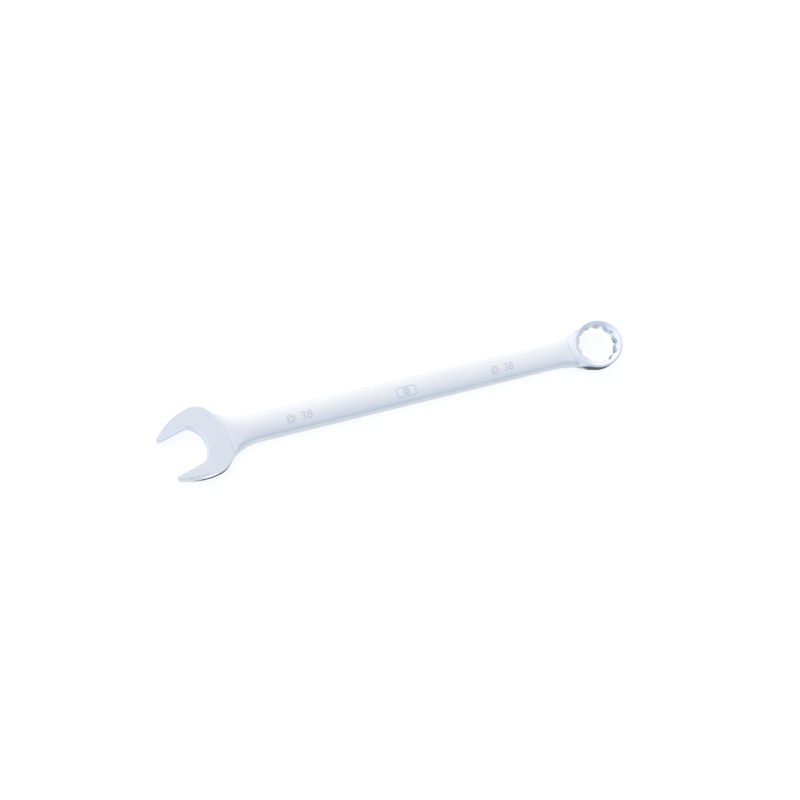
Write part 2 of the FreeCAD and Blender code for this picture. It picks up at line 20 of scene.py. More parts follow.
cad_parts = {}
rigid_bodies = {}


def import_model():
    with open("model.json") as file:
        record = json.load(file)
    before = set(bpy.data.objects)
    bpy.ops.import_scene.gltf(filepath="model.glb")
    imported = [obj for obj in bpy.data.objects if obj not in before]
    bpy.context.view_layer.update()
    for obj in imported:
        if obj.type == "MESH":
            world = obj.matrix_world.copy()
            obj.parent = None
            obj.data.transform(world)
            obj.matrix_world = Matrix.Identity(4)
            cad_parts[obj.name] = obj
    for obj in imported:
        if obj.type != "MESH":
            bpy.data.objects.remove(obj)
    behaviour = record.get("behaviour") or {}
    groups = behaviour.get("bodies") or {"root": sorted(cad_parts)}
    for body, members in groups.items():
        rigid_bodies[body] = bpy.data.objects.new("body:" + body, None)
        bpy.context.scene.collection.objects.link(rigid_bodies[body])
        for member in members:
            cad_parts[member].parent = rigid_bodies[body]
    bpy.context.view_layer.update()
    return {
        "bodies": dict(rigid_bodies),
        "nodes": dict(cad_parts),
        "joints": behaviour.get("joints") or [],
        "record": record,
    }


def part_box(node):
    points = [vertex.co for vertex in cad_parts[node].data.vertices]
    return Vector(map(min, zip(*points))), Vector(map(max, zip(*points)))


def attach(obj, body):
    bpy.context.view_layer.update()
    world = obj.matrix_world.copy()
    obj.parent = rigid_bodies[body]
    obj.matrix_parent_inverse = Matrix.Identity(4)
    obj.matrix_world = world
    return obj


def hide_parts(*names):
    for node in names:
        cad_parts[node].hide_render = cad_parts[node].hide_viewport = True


log = logging.getLogger("wrench")

MM = 0.001                  # metres in a millimetre
MERGE = 2e-6                # points closer than this, in metres, are one point
EDGE = "edge_turn"          # the attribute that holds how sharply a piece turns
SATIN_SHARE = "satin"       # the attribute that holds how much of the satin finish shows
WORN_TURN = math.radians(40.0)      # an edge that turns this much wears fully bright
SMOOTH_LEVELS = 1           # how many times each skin is subdivided
FULL_TURN = 2 * math.pi
HALF_SIDE = math.pi / 6     # half of the angle that a hexagon's side covers

HEAD_ANGLE = math.radians(15.0)     # between the jaw's centre line and the shank
NUT_SEAT = 25.0                     # from the crossing of the centre lines forward to the nut's centre

NECK_ROWS = (0.0, 0.012, 0.028, 0.048, 0.075, 0.11, 0.15, 0.2, 0.26, 0.33, 0.41, 0.5, 0.6, 0.7, 0.8, 0.88,
             0.95, 1.0)     # where the rows of a neck's skin lie, as shares of its length
TIP_STEPS = 40              # how many steps the bend at a jaw's tip takes
SETTLE_ROUNDS = 4           # how often a neck's heights and the fade of its step are worked out in turn

Point = np.ndarray
Grid = list[list[Point]]
Tint = tuple[float, float, float]
Rim = tuple[tuple[float, float], ...]


def vec(*values: float) -> Point:
    """A point or direction as an array."""
    return np.array(values, float)


def mix(one: float | Point, two: float | Point, share: float) -> float | Point:
    """The value that lies a share of the way from one value to another."""
    return one + (two - one) * share


def ease(share: float) -> float:
    """A smooth step from 0 to 1 that starts and ends level."""
    share = min(max(share, 0.0), 1.0)
    return share * share * (3.0 - 2.0 * share)


def polar(centre: Sequence[float], radius: float, angle: float) -> Point:
    """The point at an angle on a circle in plan."""
    return vec(centre[0] + radius * math.cos(angle), centre[1] + radius * math.sin(angle))


class Path:
    """A plan line made of arcs and straights, read by the distance along it."""

    def __init__(self, points: Iterable[Point]) -> None:
        """Store the line.

        Args:
            points: closely spaced points along the arcs and straights, in order.
        """
        self.points = np.array(list(points))
        steps = np.linalg.norm(np.diff(self.points, axis=0), axis=1)
        self.distance = np.concatenate([[0.0], np.cumsum(steps)])

    @property
    def length(self) -> float:
        """The whole length of the line."""
        return float(self.distance[-1])

    def at(self, distance: float) -> Point:
        """The point at a distance along the line."""
        return vec(*(np.interp(distance, self.distance, self.points[:, axis]) for axis in (0, 1)))

    def nearest(self, point: Point) -> float:
        """The distance along the line of its point nearest to a given one."""
        steps = np.diff(self.points, axis=0)
        lengths = np.linalg.norm(steps, axis=1)
        shares = np.clip(((point - self.points[:-1]) * steps).sum(axis=1) / lengths ** 2, 0.0, 1.0)
        gaps = np.linalg.norm(self.points[:-1] + steps * shares[:, None] - point, axis=1)
        k = int(np.argmin(gaps))
        return float(self.distance[k] + shares[k] * lengths[k])

    def gap(self, point: Point) -> float:
        """How far in plan a point lies from the line."""
        return float(np.linalg.norm(self.at(self.nearest(point[:2])) - point[:2]))


def arc(centre: Sequence[float], radius: float, start: float, end: float, count: int = 240) -> list[Point]:
    """Closely spaced points on an arc from one angle to another, in radians."""
    return [polar(centre, radius, mix(start, end, k / count)) for k in range(count + 1)]


def straight(start: Point, end: Point, count: int = 200) -> list[Point]:
    """Closely spaced points on a straight line."""
    return [mix(start, end, k / count) for k in range(count + 1)]


@dataclass(frozen=True)
class Place:
    """Where the wrench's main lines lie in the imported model, in millimetres."""

    crossing: Point
    ring_centre: Point
    ring_axis: Point
    shank_from: float
    shank_to: float

    @classmethod
    def read(cls, record: dict) -> "Place":
        """Take the places from the model's mounts and the shank's box.

        Args:
            record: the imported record.

        Returns:
            The crossing of the centre lines, the ring's centre and axis, and the shank's two ends.
        """
        mounts = {mount["name"]: mount for mount in record["mounts"]}
        flats = [np.array(mounts[name]["pos_m"]) / MM for name in ("jaw_flat_upper", "jaw_flat_lower")]
        along = vec(math.cos(HEAD_ANGLE), math.sin(HEAD_ANGLE), 0.0)
        low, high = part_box("shank")
        return cls(
            crossing=(flats[0] + flats[1]) / 2 + along * NUT_SEAT,
            ring_centre=np.array(mounts["box_hole"]["pos_m"]) / MM,
            ring_axis=np.array(mounts["box_hole"]["axis"]),
            shank_from=low.x / MM,
            shank_to=high.x / MM,
        )


@dataclass
class BarSection:
    """The bar's cross-section: crowned faces and large rounded sides."""

    half_width: float = 14.4
    half_height: float = 6.0
    side_radius: float = 5.2

    def __post_init__(self) -> None:
        """Work out the crown's radius and where it meets the side."""
        reach = self.half_width - self.side_radius
        self.crown = (reach ** 2 + self.half_height ** 2 - self.side_radius ** 2) / (
            2 * (self.half_height - self.side_radius))
        self.lean = math.atan2(reach, self.crown - self.half_height)

    def side(self, count: int) -> list[Point]:
        """Points (y, z) from the widest place up the side to where the crown starts."""
        centre = vec(self.half_width - self.side_radius, 0.0)
        top = math.pi / 2 - self.lean
        return [polar(centre, self.side_radius, top * k / (count - 1)) for k in range(count)]

    def face(self, y: float) -> float:
        """The crown's height at a distance from the middle."""
        return self.half_height - self.crown + math.sqrt(self.crown ** 2 - y ** 2)

    def columns(self, side_count: int, shares: Sequence[float]) -> list[Point]:
        """Points (y, z) over the front from the lower side to the upper.

        Args:
            side_count: how many points lie on each rounded side.
            shares: places of the other points across the crown, from 0 to 1.

        Returns:
            The points in order.
        """
        upper = self.side(side_count)
        edge = upper[-1][0]
        lower = [vec(-y, z) for y, z in upper]
        crown = [mix(-edge, edge, share) for share in shares]
        return lower + [vec(y, self.face(y)) for y in crown] + upper[::-1]


class Skin:
    """Collects grids of points into one closed mesh."""

    def __init__(self, name: str) -> None:
        """Start an empty skin for the piece with this name."""
        self.name = name
        self.mesh = bmesh.new()

    def add(self, grid: Grid) -> None:
        """Add a grid of points, one face between each four neighbours."""
        rows = [[self.mesh.verts.new(Vector(point * MM)) for point in row] for row in grid]
        for one, two in zip(rows, rows[1:]):
            for k in range(len(one) - 1):
                self.mesh.faces.new((one[k], one[k + 1], two[k + 1], two[k]))

    def finish(self, satin: Callable[[Point], float]) -> bpy.types.Object:
        """Join the grids, close the cut ends and make the object.

        Args:
            satin: how much of the satin finish a point shows, from 0 for polished to 1.

        Returns:
            The piece, in place, with smooth shading.
        """
        bmesh.ops.remove_doubles(self.mesh, verts=self.mesh.verts, dist=MERGE)
        bmesh.ops.dissolve_degenerate(self.mesh, edges=self.mesh.edges, dist=MERGE)
        creases = self.mesh.edges.layers.float.new("crease_edge")
        rims = [edge for edge in self.mesh.edges if edge.is_boundary]
        if rims:
            bmesh.ops.holes_fill(self.mesh, edges=rims, sides=0)
        for edge in rims:
            edge[creases] = 1.0
            edge.smooth = False
        bmesh.ops.recalc_face_normals(self.mesh, faces=self.mesh.faces)
        for face in self.mesh.faces:
            face.smooth = True
        open_edges = sum(1 for edge in self.mesh.edges if len(edge.link_faces) != 2)
        log.info("%s: %d faces, %d open edges", self.name, len(self.mesh.faces), open_edges)
        turns = [max((edge.calc_face_angle(0.0) for edge in vertex.link_edges
                      if edge.smooth and edge.calc_face_angle_signed(0.0) > 0), default=0.0)
                 for vertex in self.mesh.verts]
        layers = {EDGE: [min(1.0, turn / WORN_TURN) for turn in turns],
                  SATIN_SHARE: [satin(np.array(vertex.co) / MM) for vertex in self.mesh.verts]}
        data = bpy.data.meshes.new(self.name)
        self.mesh.to_mesh(data)
        self.mesh.free()
        for name, values in layers.items():
            data.attributes.new(name, "FLOAT", "POINT").data.foreach_set("value", values)
        piece = bpy.data.objects.new(self.name, data)
        bpy.context.scene.collection.objects.link(piece)
        smooth = piece.modifiers.new("smooth", "SUBSURF")
        smooth.levels = smooth.render_levels = SMOOTH_LEVELS
        return piece


def neck_grid(start: list[Point], end: list[Point], sides: tuple[Path, Path], count: int,
              fillet: float, side_run: float, gap: Callable[[Point], float]) -> Grid:
    """The skin of one face of a neck, from the head or ring to the bar.

    Args:
        start: the points where the neck leaves the head, from the lower side to the upper.
        end: as many points on the bar's section.
        sides: the lower and the upper side's plan lines, from the head to the bar.
        count: how many points lie on each rounded side.
        fillet: how far from the head the step down from its face runs out.
        side_run: how far along the neck the head's upright wall takes to become the rounded side.
        gap: the distance of a point from the head's outside.

    Returns:
        One row of points for each place along the neck.
    """
    first, last = np.array(start), np.array(end)
    total, inner = len(first), len(first) - 2 * count
    steps = np.linalg.norm(np.diff(first[count - 1:total - count + 1, :2], axis=0), axis=1)
    share_start = np.concatenate([[0.0], np.cumsum(steps)]) / steps.sum()
    edge = last[count - 1, 1], last[total - count, 1]
    share_end = (last[count - 1:total - count + 1, 1] - edge[0]) / (edge[1] - edge[0])
    chord = [first[0, :2], first[-1, :2]]
    length = (sides[0].length + sides[1].length) / 2
    grid = [list(first)]
    for along in NECK_ROWS[1:-1]:
        part = min(1.0, along * length / side_run)
        turn, keep = part * ease(part), 1 - ease(along)
        low, high = (side.at(along * side.length) for side in sides)
        across = (high - low) / np.linalg.norm(high - low)
        plans = []
        for k in range(total):
            from_side = min(k, total - 1 - k)
            if from_side < count:
                lower = k == from_side
                reach = abs(last[k, 1] - last[0 if lower else -1, 1]) * turn
                plan = (low + across * reach if lower else high - across * reach)
                plan = plan + (first[k, :2] - chord[0 if lower else 1]) * keep
            else:
                number = k - count + 1
                inset = (edge[0] - last[0, 1]) * turn
                share = mix(share_start[number], share_end[number], 1 - keep)
                straight_start = mix(first[count - 1, :2], first[total - count, :2], share_start[number])
                plan = mix(low + across * inset, high - across * inset, share)
                plan = plan + (first[k, :2] - straight_start) * keep
            plans.append(plan)
        fades = np.ones(total)
        for _ in range(SETTLE_ROUNDS):
            heights = last[:, 2] + (first[:, 2] - last[:, 2]) * fades
            gaps = np.array([gap(vec(*plan, height)) for plan, height in zip(plans, heights)])
            fades = np.clip(1 - np.maximum(gaps, 0.0) / fillet, 0.0, 1.0) ** 2
        row = []
        for k, plan in enumerate(plans):
            from_side, fade = min(k, total - 1 - k), fades[k]
            if from_side < count - 1:
                top = fades[count - 1 if k == from_side else total - count]
                fade = mix(1 - turn, top, (from_side / (count - 1)) ** 2)
            row.append(vec(*plan, last[k, 2] + (first[k, 2] - last[k, 2]) * fade))
        grid.append(row)
    return grid + [list(last)]


def mirrored(grid: Grid, level: float) -> Grid:
    """The same grid on the other side of a level plane."""
    return [[vec(point[0], point[1], 2 * level - point[2]) for point in row] for row in grid]


@dataclass
class Station:
    """One place along the jaw: matching points inside and outside, and the ways inwards from them."""

    inside: Point
    outside: Point
    from_inside: Point
    from_outside: Point
    bevel: float = 0.0

    @classmethod
    def across(cls, inside: Point, outside: Point, bevel: float) -> "Station":
        """A station whose two ways inwards run straight across."""
        way = (outside - inside) / np.linalg.norm(outside - inside)
        return cls(inside, outside, way, -way, bevel)


@dataclass
class OpenEnd:
    """The jaw head, turned to one side, and the neck behind it.

    A rim is a row of points at the face's edge, each given by how far in from the wall it lies and how far
    below the face. A match names a place inside the jaw and the place outside that goes with it.
    """

    place: Place
    section: BarSection = field(default_factory=BarSection)
    half_thickness: float = 7.8
    jaw_half: float = 19.15
    jaw_wall: float = 15.84
    jaw_arc: float = 60.0
    tip_reach: float = 41.6
    tip_radius: float = 1.2
    tip_bend: tuple[float, float] = (1.0, 0.85)
    tip_middle: tuple[float, float] = (1.7, 0.15)
    tip_trim: tuple[float, float] = (0.28, 0.3)
    throat_depth: float = 2.8
    throat_bulge: float = 5.15
    throat_corner: float = 6.0
    head_corner: float = 19.5
    corner_setback: float = 3.6
    head_back: float = 18.1
    bevel_length: float = 37.0
    bevel_slope: float = math.radians(35.0)
    bevel_blend: float = 0.9
    widest_bevel: float = 0.45
    upper_flare: float = 50.0
    lower_flare: float = 42.0
    neck_fillet: float = 3.4
    neck_side_run: float = 16.0
    satin_fade: float = 1.2
    flat_match: tuple[float, tuple[float, float]] = (-15.5, (-18.0, 33.1))
    throat_match: tuple[float, float] = (-7.6, 14.4)
    station_counts: tuple[int, int, int] = (26, 20, 15)
    wall_rows: tuple[float, ...] = (1.0, 0.9, 0.76, 0.58, 0.38, 0.19, 0.0)
    face_shares: tuple[float, ...] = (0.12, 0.3, 0.5, 0.7, 0.88)
    full_rim_width: float = 4.5
    inner_rim: Rim = ((0.09, 0.92), (0.88, 0.1), (1.1, 0.0), (1.5, 0.0))
    outer_rim: Rim = ((1.0, 0.0), (0.62, 0.0), (0.3, 0.06), (0.1, 0.28))
    ground_rim: tuple[float, float] = (0.42, 0.02)
    inner_wall_drop: float = 1.15
    outer_wall_drop: float = 0.75
    ground_wall_drop: float = 0.62

    def __post_init__(self) -> None:
        """Work out the head's outline from its sizes."""
        self.half = self.jaw_half + self.jaw_wall
        self.corner_v = self.half - self.head_corner
        reach = self.head_back + self.corner_setback
        self.back_arc = (reach ** 2 + self.corner_v ** 2 - self.head_corner ** 2) / (
            2 * (reach - self.head_corner))
        self.throat = self.jaw_half + self.throat_bulge
        self.jaw_centre = vec(-self.corner_setback, self.half - self.jaw_arc)
        lean = math.asin((self.tip_reach - self.corner_setback) / self.jaw_arc)
        self.tip_corner = polar(self.jaw_centre, self.jaw_arc, math.pi / 2 + lean)
        self.tip_angle = math.pi / 2 + lean - self.tip_bend[0] / self.jaw_arc

    def to_row(self, point: Point, jaw: int = 1) -> Point:
        """A plan point of the jaw's own lines, or its mirror for the lower jaw, in the wrench's."""
        cos, sin = math.cos(HEAD_ANGLE), math.sin(HEAD_ANGLE)
        base, (u, v) = self.place.crossing, (point[0], jaw * point[1])
        return vec(base[0] + u * cos - v * sin, base[1] + u * sin + v * cos)

    def outer_side(self) -> Path:
        """The outside of the upper jaw, from the end of its tip's rounding to the middle of the rear edge."""
        corner = (-self.corner_setback, self.corner_v)
        meet = math.asin(self.corner_v / (self.back_arc - self.head_corner))
        points = arc(self.jaw_centre, self.jaw_arc, self.tip_angle, math.pi / 2)
        points += arc(corner, self.head_corner, math.pi / 2, meet)[1:]
        points += arc((self.head_back - self.back_arc, 0.0), self.back_arc, meet, 0.0)[1:]
        return Path(points)

    def inner_side(self) -> Path:
        """The upper jaw's flat and half the throat, from the start of the flat to the throat's bottom."""
        centre = vec(-self.throat_depth - self.throat, 0.0)
        inset = self.throat - self.throat_corner
        fillet_v = self.jaw_half - self.throat_corner
        fillet = centre + vec(math.sqrt(inset ** 2 - fillet_v ** 2), fillet_v)
        meet = math.atan2(fillet_v, fillet[0] - centre[0])
        start = vec(-self.tip_reach + self.tip_radius, self.jaw_half)
        points = straight(start, vec(fillet[0], self.jaw_half))
        points += arc(fillet, self.throat_corner, math.pi / 2, meet, count=80)[1:]
        points += arc(centre, self.throat, meet, 0.0)[1:]
        return Path(points)

    def nose(self) -> Path:
        """The rounded tip of the upper jaw, from its flat to its outside."""
        centre = vec(-self.tip_reach + self.tip_radius, self.jaw_half + self.tip_radius)
        points = arc(centre, self.tip_radius, 1.5 * math.pi, math.pi, count=60)
        low = self.tip_corner - vec(0.0, self.tip_bend[1])
        end = polar(self.jaw_centre, self.jaw_arc, self.tip_angle)
        for k in range(TIP_STEPS + 1):
            share = k / TIP_STEPS
            points.append(mix(mix(low, self.tip_corner, share), mix(self.tip_corner, end, share), share))
        return Path(points)

    def flare(self, jaw: int) -> tuple[Path, Point]:
        """One side of the neck.

        Args:
            jaw: 1 on the upper side, -1 on the lower.

        Returns:
            The plan line from the head to the bar, and the point where it leaves the head.
        """
        radius = self.upper_flare if jaw > 0 else self.lower_flare
        corner = self.to_row(vec(-self.corner_setback, self.corner_v), jaw)
        line = self.place.crossing[1] + jaw * self.section.half_width
        rise = abs(line + jaw * radius - corner[1])
        run = math.sqrt((radius + self.head_corner) ** 2 - rise ** 2)
        centre = vec(corner[0] + run, line + jaw * radius)
        touch = centre + (corner - centre) * radius / (radius + self.head_corner)
        start = jaw * abs(math.atan2(touch[1] - centre[1], touch[0] - centre[0]))
        points = arc(centre, radius, -start, -jaw * math.pi / 2)
        points += straight(vec(centre[0], line), vec(self.place.shank_from, line), count=40)[1:]
        return Path(points), touch

    def bevel_width(self, point: Point) -> float:
        """How wide the lower jaw's ground bevel is at a point of the jaw's outside, in plan."""
        angle = math.atan2(self.jaw_centre[0] - point[0], point[1] - self.jaw_centre[1])
        half_turn = math.asin(self.bevel_length / 2 / self.jaw_arc)
        if not 0 < angle < 2 * half_turn:
            return 0.0
        return self.jaw_arc * (1 - math.cos(half_turn) / math.cos(angle - half_turn))

    def half_stations(self, jaw: int) -> tuple[list[Station], int]:
        """The stations of one jaw, from its tip to the middle of the rear edge.

        Args:
            jaw: 1 for the upper jaw, -1 for the lower.

        Returns:
            The stations, and the number of the one where the neck's side leaves the head.
        """
        outer, inner = self.outer_side(), self.inner_side()
        base = self.place.crossing[:2]
        touch = self.flare(jaw)[1] - base
        cos, sin = math.cos(HEAD_ANGLE), math.sin(HEAD_ANGLE)
        local = vec(touch[0] * cos + touch[1] * sin, abs(-touch[0] * sin + touch[1] * cos))
        flat, outside = self.flat_match
        keys = [(0.0, 0.0), (inner.nearest(vec(flat, self.jaw_half)), outer.nearest(vec(*outside))),
                (inner.nearest(vec(*self.throat_match)), outer.nearest(local)), (inner.length, outer.length)]
        pairs = []
        for (a, b), (c, d), count in zip(keys, keys[1:], self.station_counts):
            pairs += [(mix(a, c, k / count), mix(b, d, k / count)) for k in range(count)]
        pairs.append(keys[-1])
        stations = [Station.across(self.to_row(inner.at(a), jaw), self.to_row(outer.at(b), jaw),
                                   self.bevel_width(outer.at(b)) if jaw < 0 else 0.0)
                    for a, b in pairs]
        return stations, sum(self.station_counts[:2])

    def rim_scale(self, station: Station) -> float:
        """How much smaller the rims are where the jaw is too narrow for them."""
        return min(1.0, float(np.linalg.norm(station.outside - station.inside)) / self.full_rim_width)

    def column(self, station: Station) -> list[Point]:
        """The skin across the head at one station.

        Args:
            station: the station's two points and the ways inwards from them.

        Returns:
            Points from the inner wall's foot over the face to the outer wall's foot, both half way through.
        """
        width = float(np.linalg.norm(station.outside - station.inside))
        bevel = min(station.bevel, self.widest_bevel * width)
        scale, top = self.rim_scale(station), self.half_thickness
        drop, ground = bevel * math.tan(self.bevel_slope), ease(bevel / self.bevel_blend)
        inner = [(0.0, (top - self.inner_wall_drop) * share) for share in self.wall_rows[::-1]]
        inner += [(offset, top - below) for offset, below in self.inner_rim]
        outer = [(bevel + offset * scale, top - below) for offset, below in self.outer_rim[:-1]]
        (edge_in, edge_below), (ground_in, ground_below) = self.outer_rim[-1], self.ground_rim
        outer.append((mix(edge_in, ground_in, ground) * scale,
                      top - mix(edge_below, drop + ground_below, ground)))
        wall_top = top - mix(self.outer_wall_drop, drop + self.ground_wall_drop, ground)
        outer += [(0.0, wall_top * share) for share in self.wall_rows]
        level = self.place.crossing[2]
        ends = [[vec(*(station.inside + station.from_inside * offset * scale), level + height)
                 for offset, height in inner],
                [vec(*(station.outside + station.from_outside * offset), level + height)
                 for offset, height in outer]]
        return ends[0] + [mix(ends[0][-1], ends[1][0], share) for share in self.face_shares] + ends[1]

    def nose_stations(self, jaw: int, count: int) -> list[Station]:
        """Places round a jaw's tip, each with the way from it to the middle of the tip.

        Args:
            jaw: 1 for the upper jaw, -1 for the lower.
            count: how many places, the corners at the flat and at the outside among them.

        Returns:
            The places, in the stations' inside points and inward ways.
        """
        nose, (behind, above) = self.nose(), self.tip_middle
        centre = vec(-self.tip_reach + behind, (self.jaw_half + self.tip_corner[1]) / 2 + above)
        middle = self.to_row(centre, jaw)
        start, end = self.tip_trim[0], nose.length - self.tip_trim[1]
        found = []
        for k in range(count):
            point = self.to_row(nose.at(mix(start, end, k / (count - 1))), jaw)
            way = (middle - point) / np.linalg.norm(middle - point)
            found.append(Station(point, point, way, way))
        return found

    def nose_grid(self, places: list[Station], first: list[Point], edge: int, scale: float) -> Grid:
        """The wall round a jaw's tip.

        Args:
            places: the places round the tip.
            first: the column of the station between the tip's two corners.
            edge: how many of the column's points lie below the face on each side.
            scale: how much smaller the edge's rounding is than along the jaw.

        Returns:
            One row for each place, from the face down to the foot.
        """
        level, top = self.place.crossing[2], self.half_thickness
        inner = [point[2] - level for point in first[:edge + 1]][::-1]
        outer = [point[2] - level for point in first[-edge - 1:]]
        offsets = [(one[0], two[0]) for one, two in zip(self.inner_rim[::-1], self.outer_rim)]
        offsets += [(0.0, 0.0)] * len(self.wall_rows)
        grid = []
        for k, place in enumerate(places):
            share = k / (len(places) - 1)
            row = [first[edge + k]]
            for (a, b), low, high in zip(offsets[1:], inner[1:], outer[1:]):
                plan = place.inside + place.from_inside * mix(a, b, share) * scale
                row.append(vec(plan[0], plan[1], level + mix(low, high, share)))
            grid.append(row)
        return grid

    def build(self) -> bpy.types.Object:
        """Make the head and its neck as one closed piece."""
        lower, first = self.half_stations(-1)
        upper, _ = self.half_stations(1)
        stations = lower + upper[-2::-1]
        last = len(stations) - 1 - first
        level, sides = self.place.crossing[2], len(self.wall_rows)
        edge = sides + len(self.inner_rim) - 1
        across = len(self.face_shares) + 2
        skin = Skin("open_end_forging")
        columns = [self.column(station) for station in stations]
        for jaw, here in ((-1, 0), (1, -1)):
            places = self.nose_stations(jaw, across)
            corner = Station(places[0].inside, places[-1].inside, places[0].from_inside,
                             places[-1].from_inside)
            column = self.column(corner)
            columns.insert(0 if here == 0 else len(columns), column)
            tip = self.nose_grid(places, column, edge, self.rim_scale(corner))
            tip[0] = column[edge::-1]
            tip[-1] = column[-edge - 1:]
            skin.add(tip)
            skin.add(mirrored(tip, level))
        first, last = first + 1, last + 1
        ribbon = [column[:-sides + 1] if first < k < last else column for k, column in enumerate(columns)]
        face = [list(row) for row in zip(*[column[:len(columns[0]) - sides + 1] for column in columns])]
        walls = [column[-sides:] for column in ribbon]
        lower_wall = [list(row) for row in zip(*walls[:first + 1])]
        upper_wall = [list(row) for row in zip(*walls[last:])]
        tops = [column[-sides] for column in columns]
        start = walls[first][::-1][:-1] + tops[first:last + 1] + walls[last][1:]
        inner_count = len(start) - 2 * sides
        shares = [(k + 1) / (inner_count + 1) for k in range(inner_count)]
        end = [vec(self.place.shank_from, self.place.crossing[1] + y, level + z)
               for y, z in self.section.columns(sides, shares)]
        outer = self.outer_side()
        halves = [Path(self.to_row(point, jaw) for point in outer.points) for jaw in (-1, 1)]
        neck = neck_grid(start, end, (self.flare(-1)[0], self.flare(1)[0]), sides, self.neck_fillet,
                         self.neck_side_run, lambda point: min(half.gap(point) for half in halves))
        for grid in (face, lower_wall, upper_wall, neck):
            skin.add(grid)
            skin.add(mirrored(grid, level))
        return skin.finish(self.satin_share)

    def satin_share(self, point: Point) -> float:
        """How much of the satin finish shows: none on the head, all of it on the neck."""
        behind = point[:2] - self.to_row(vec(self.head_back - self.back_arc, 0.0))
        return ease((float(np.linalg.norm(behind)) - self.back_arc) / self.satin_fade)


@dataclass
class Bar:
    """The parallel bar between the necks."""

    place: Place
    section: BarSection = field(default_factory=BarSection)
    side_count: int = 7
    crown_count: int = 22
    lengths: int = 48

    def build(self) -> bpy.types.Object:
        """Make the bar as one closed piece."""
        shares = [(k + 1) / (self.crown_count + 1) for k in range(self.crown_count)]
        section = self.section.columns(self.side_count, shares)
        y0, level = self.place.crossing[1], self.place.crossing[2]
        grid = []
        for k in range(self.lengths + 1):
            x = mix(self.place.shank_from, self.place.shank_to, k / self.lengths)
            grid.append([vec(x, y0 + y, level + z) for y, z in section])
        skin = Skin("shank_forging")
        skin.add(grid)
        skin.add(mirrored(grid, level))
        return skin.finish(lambda point: 1.0)


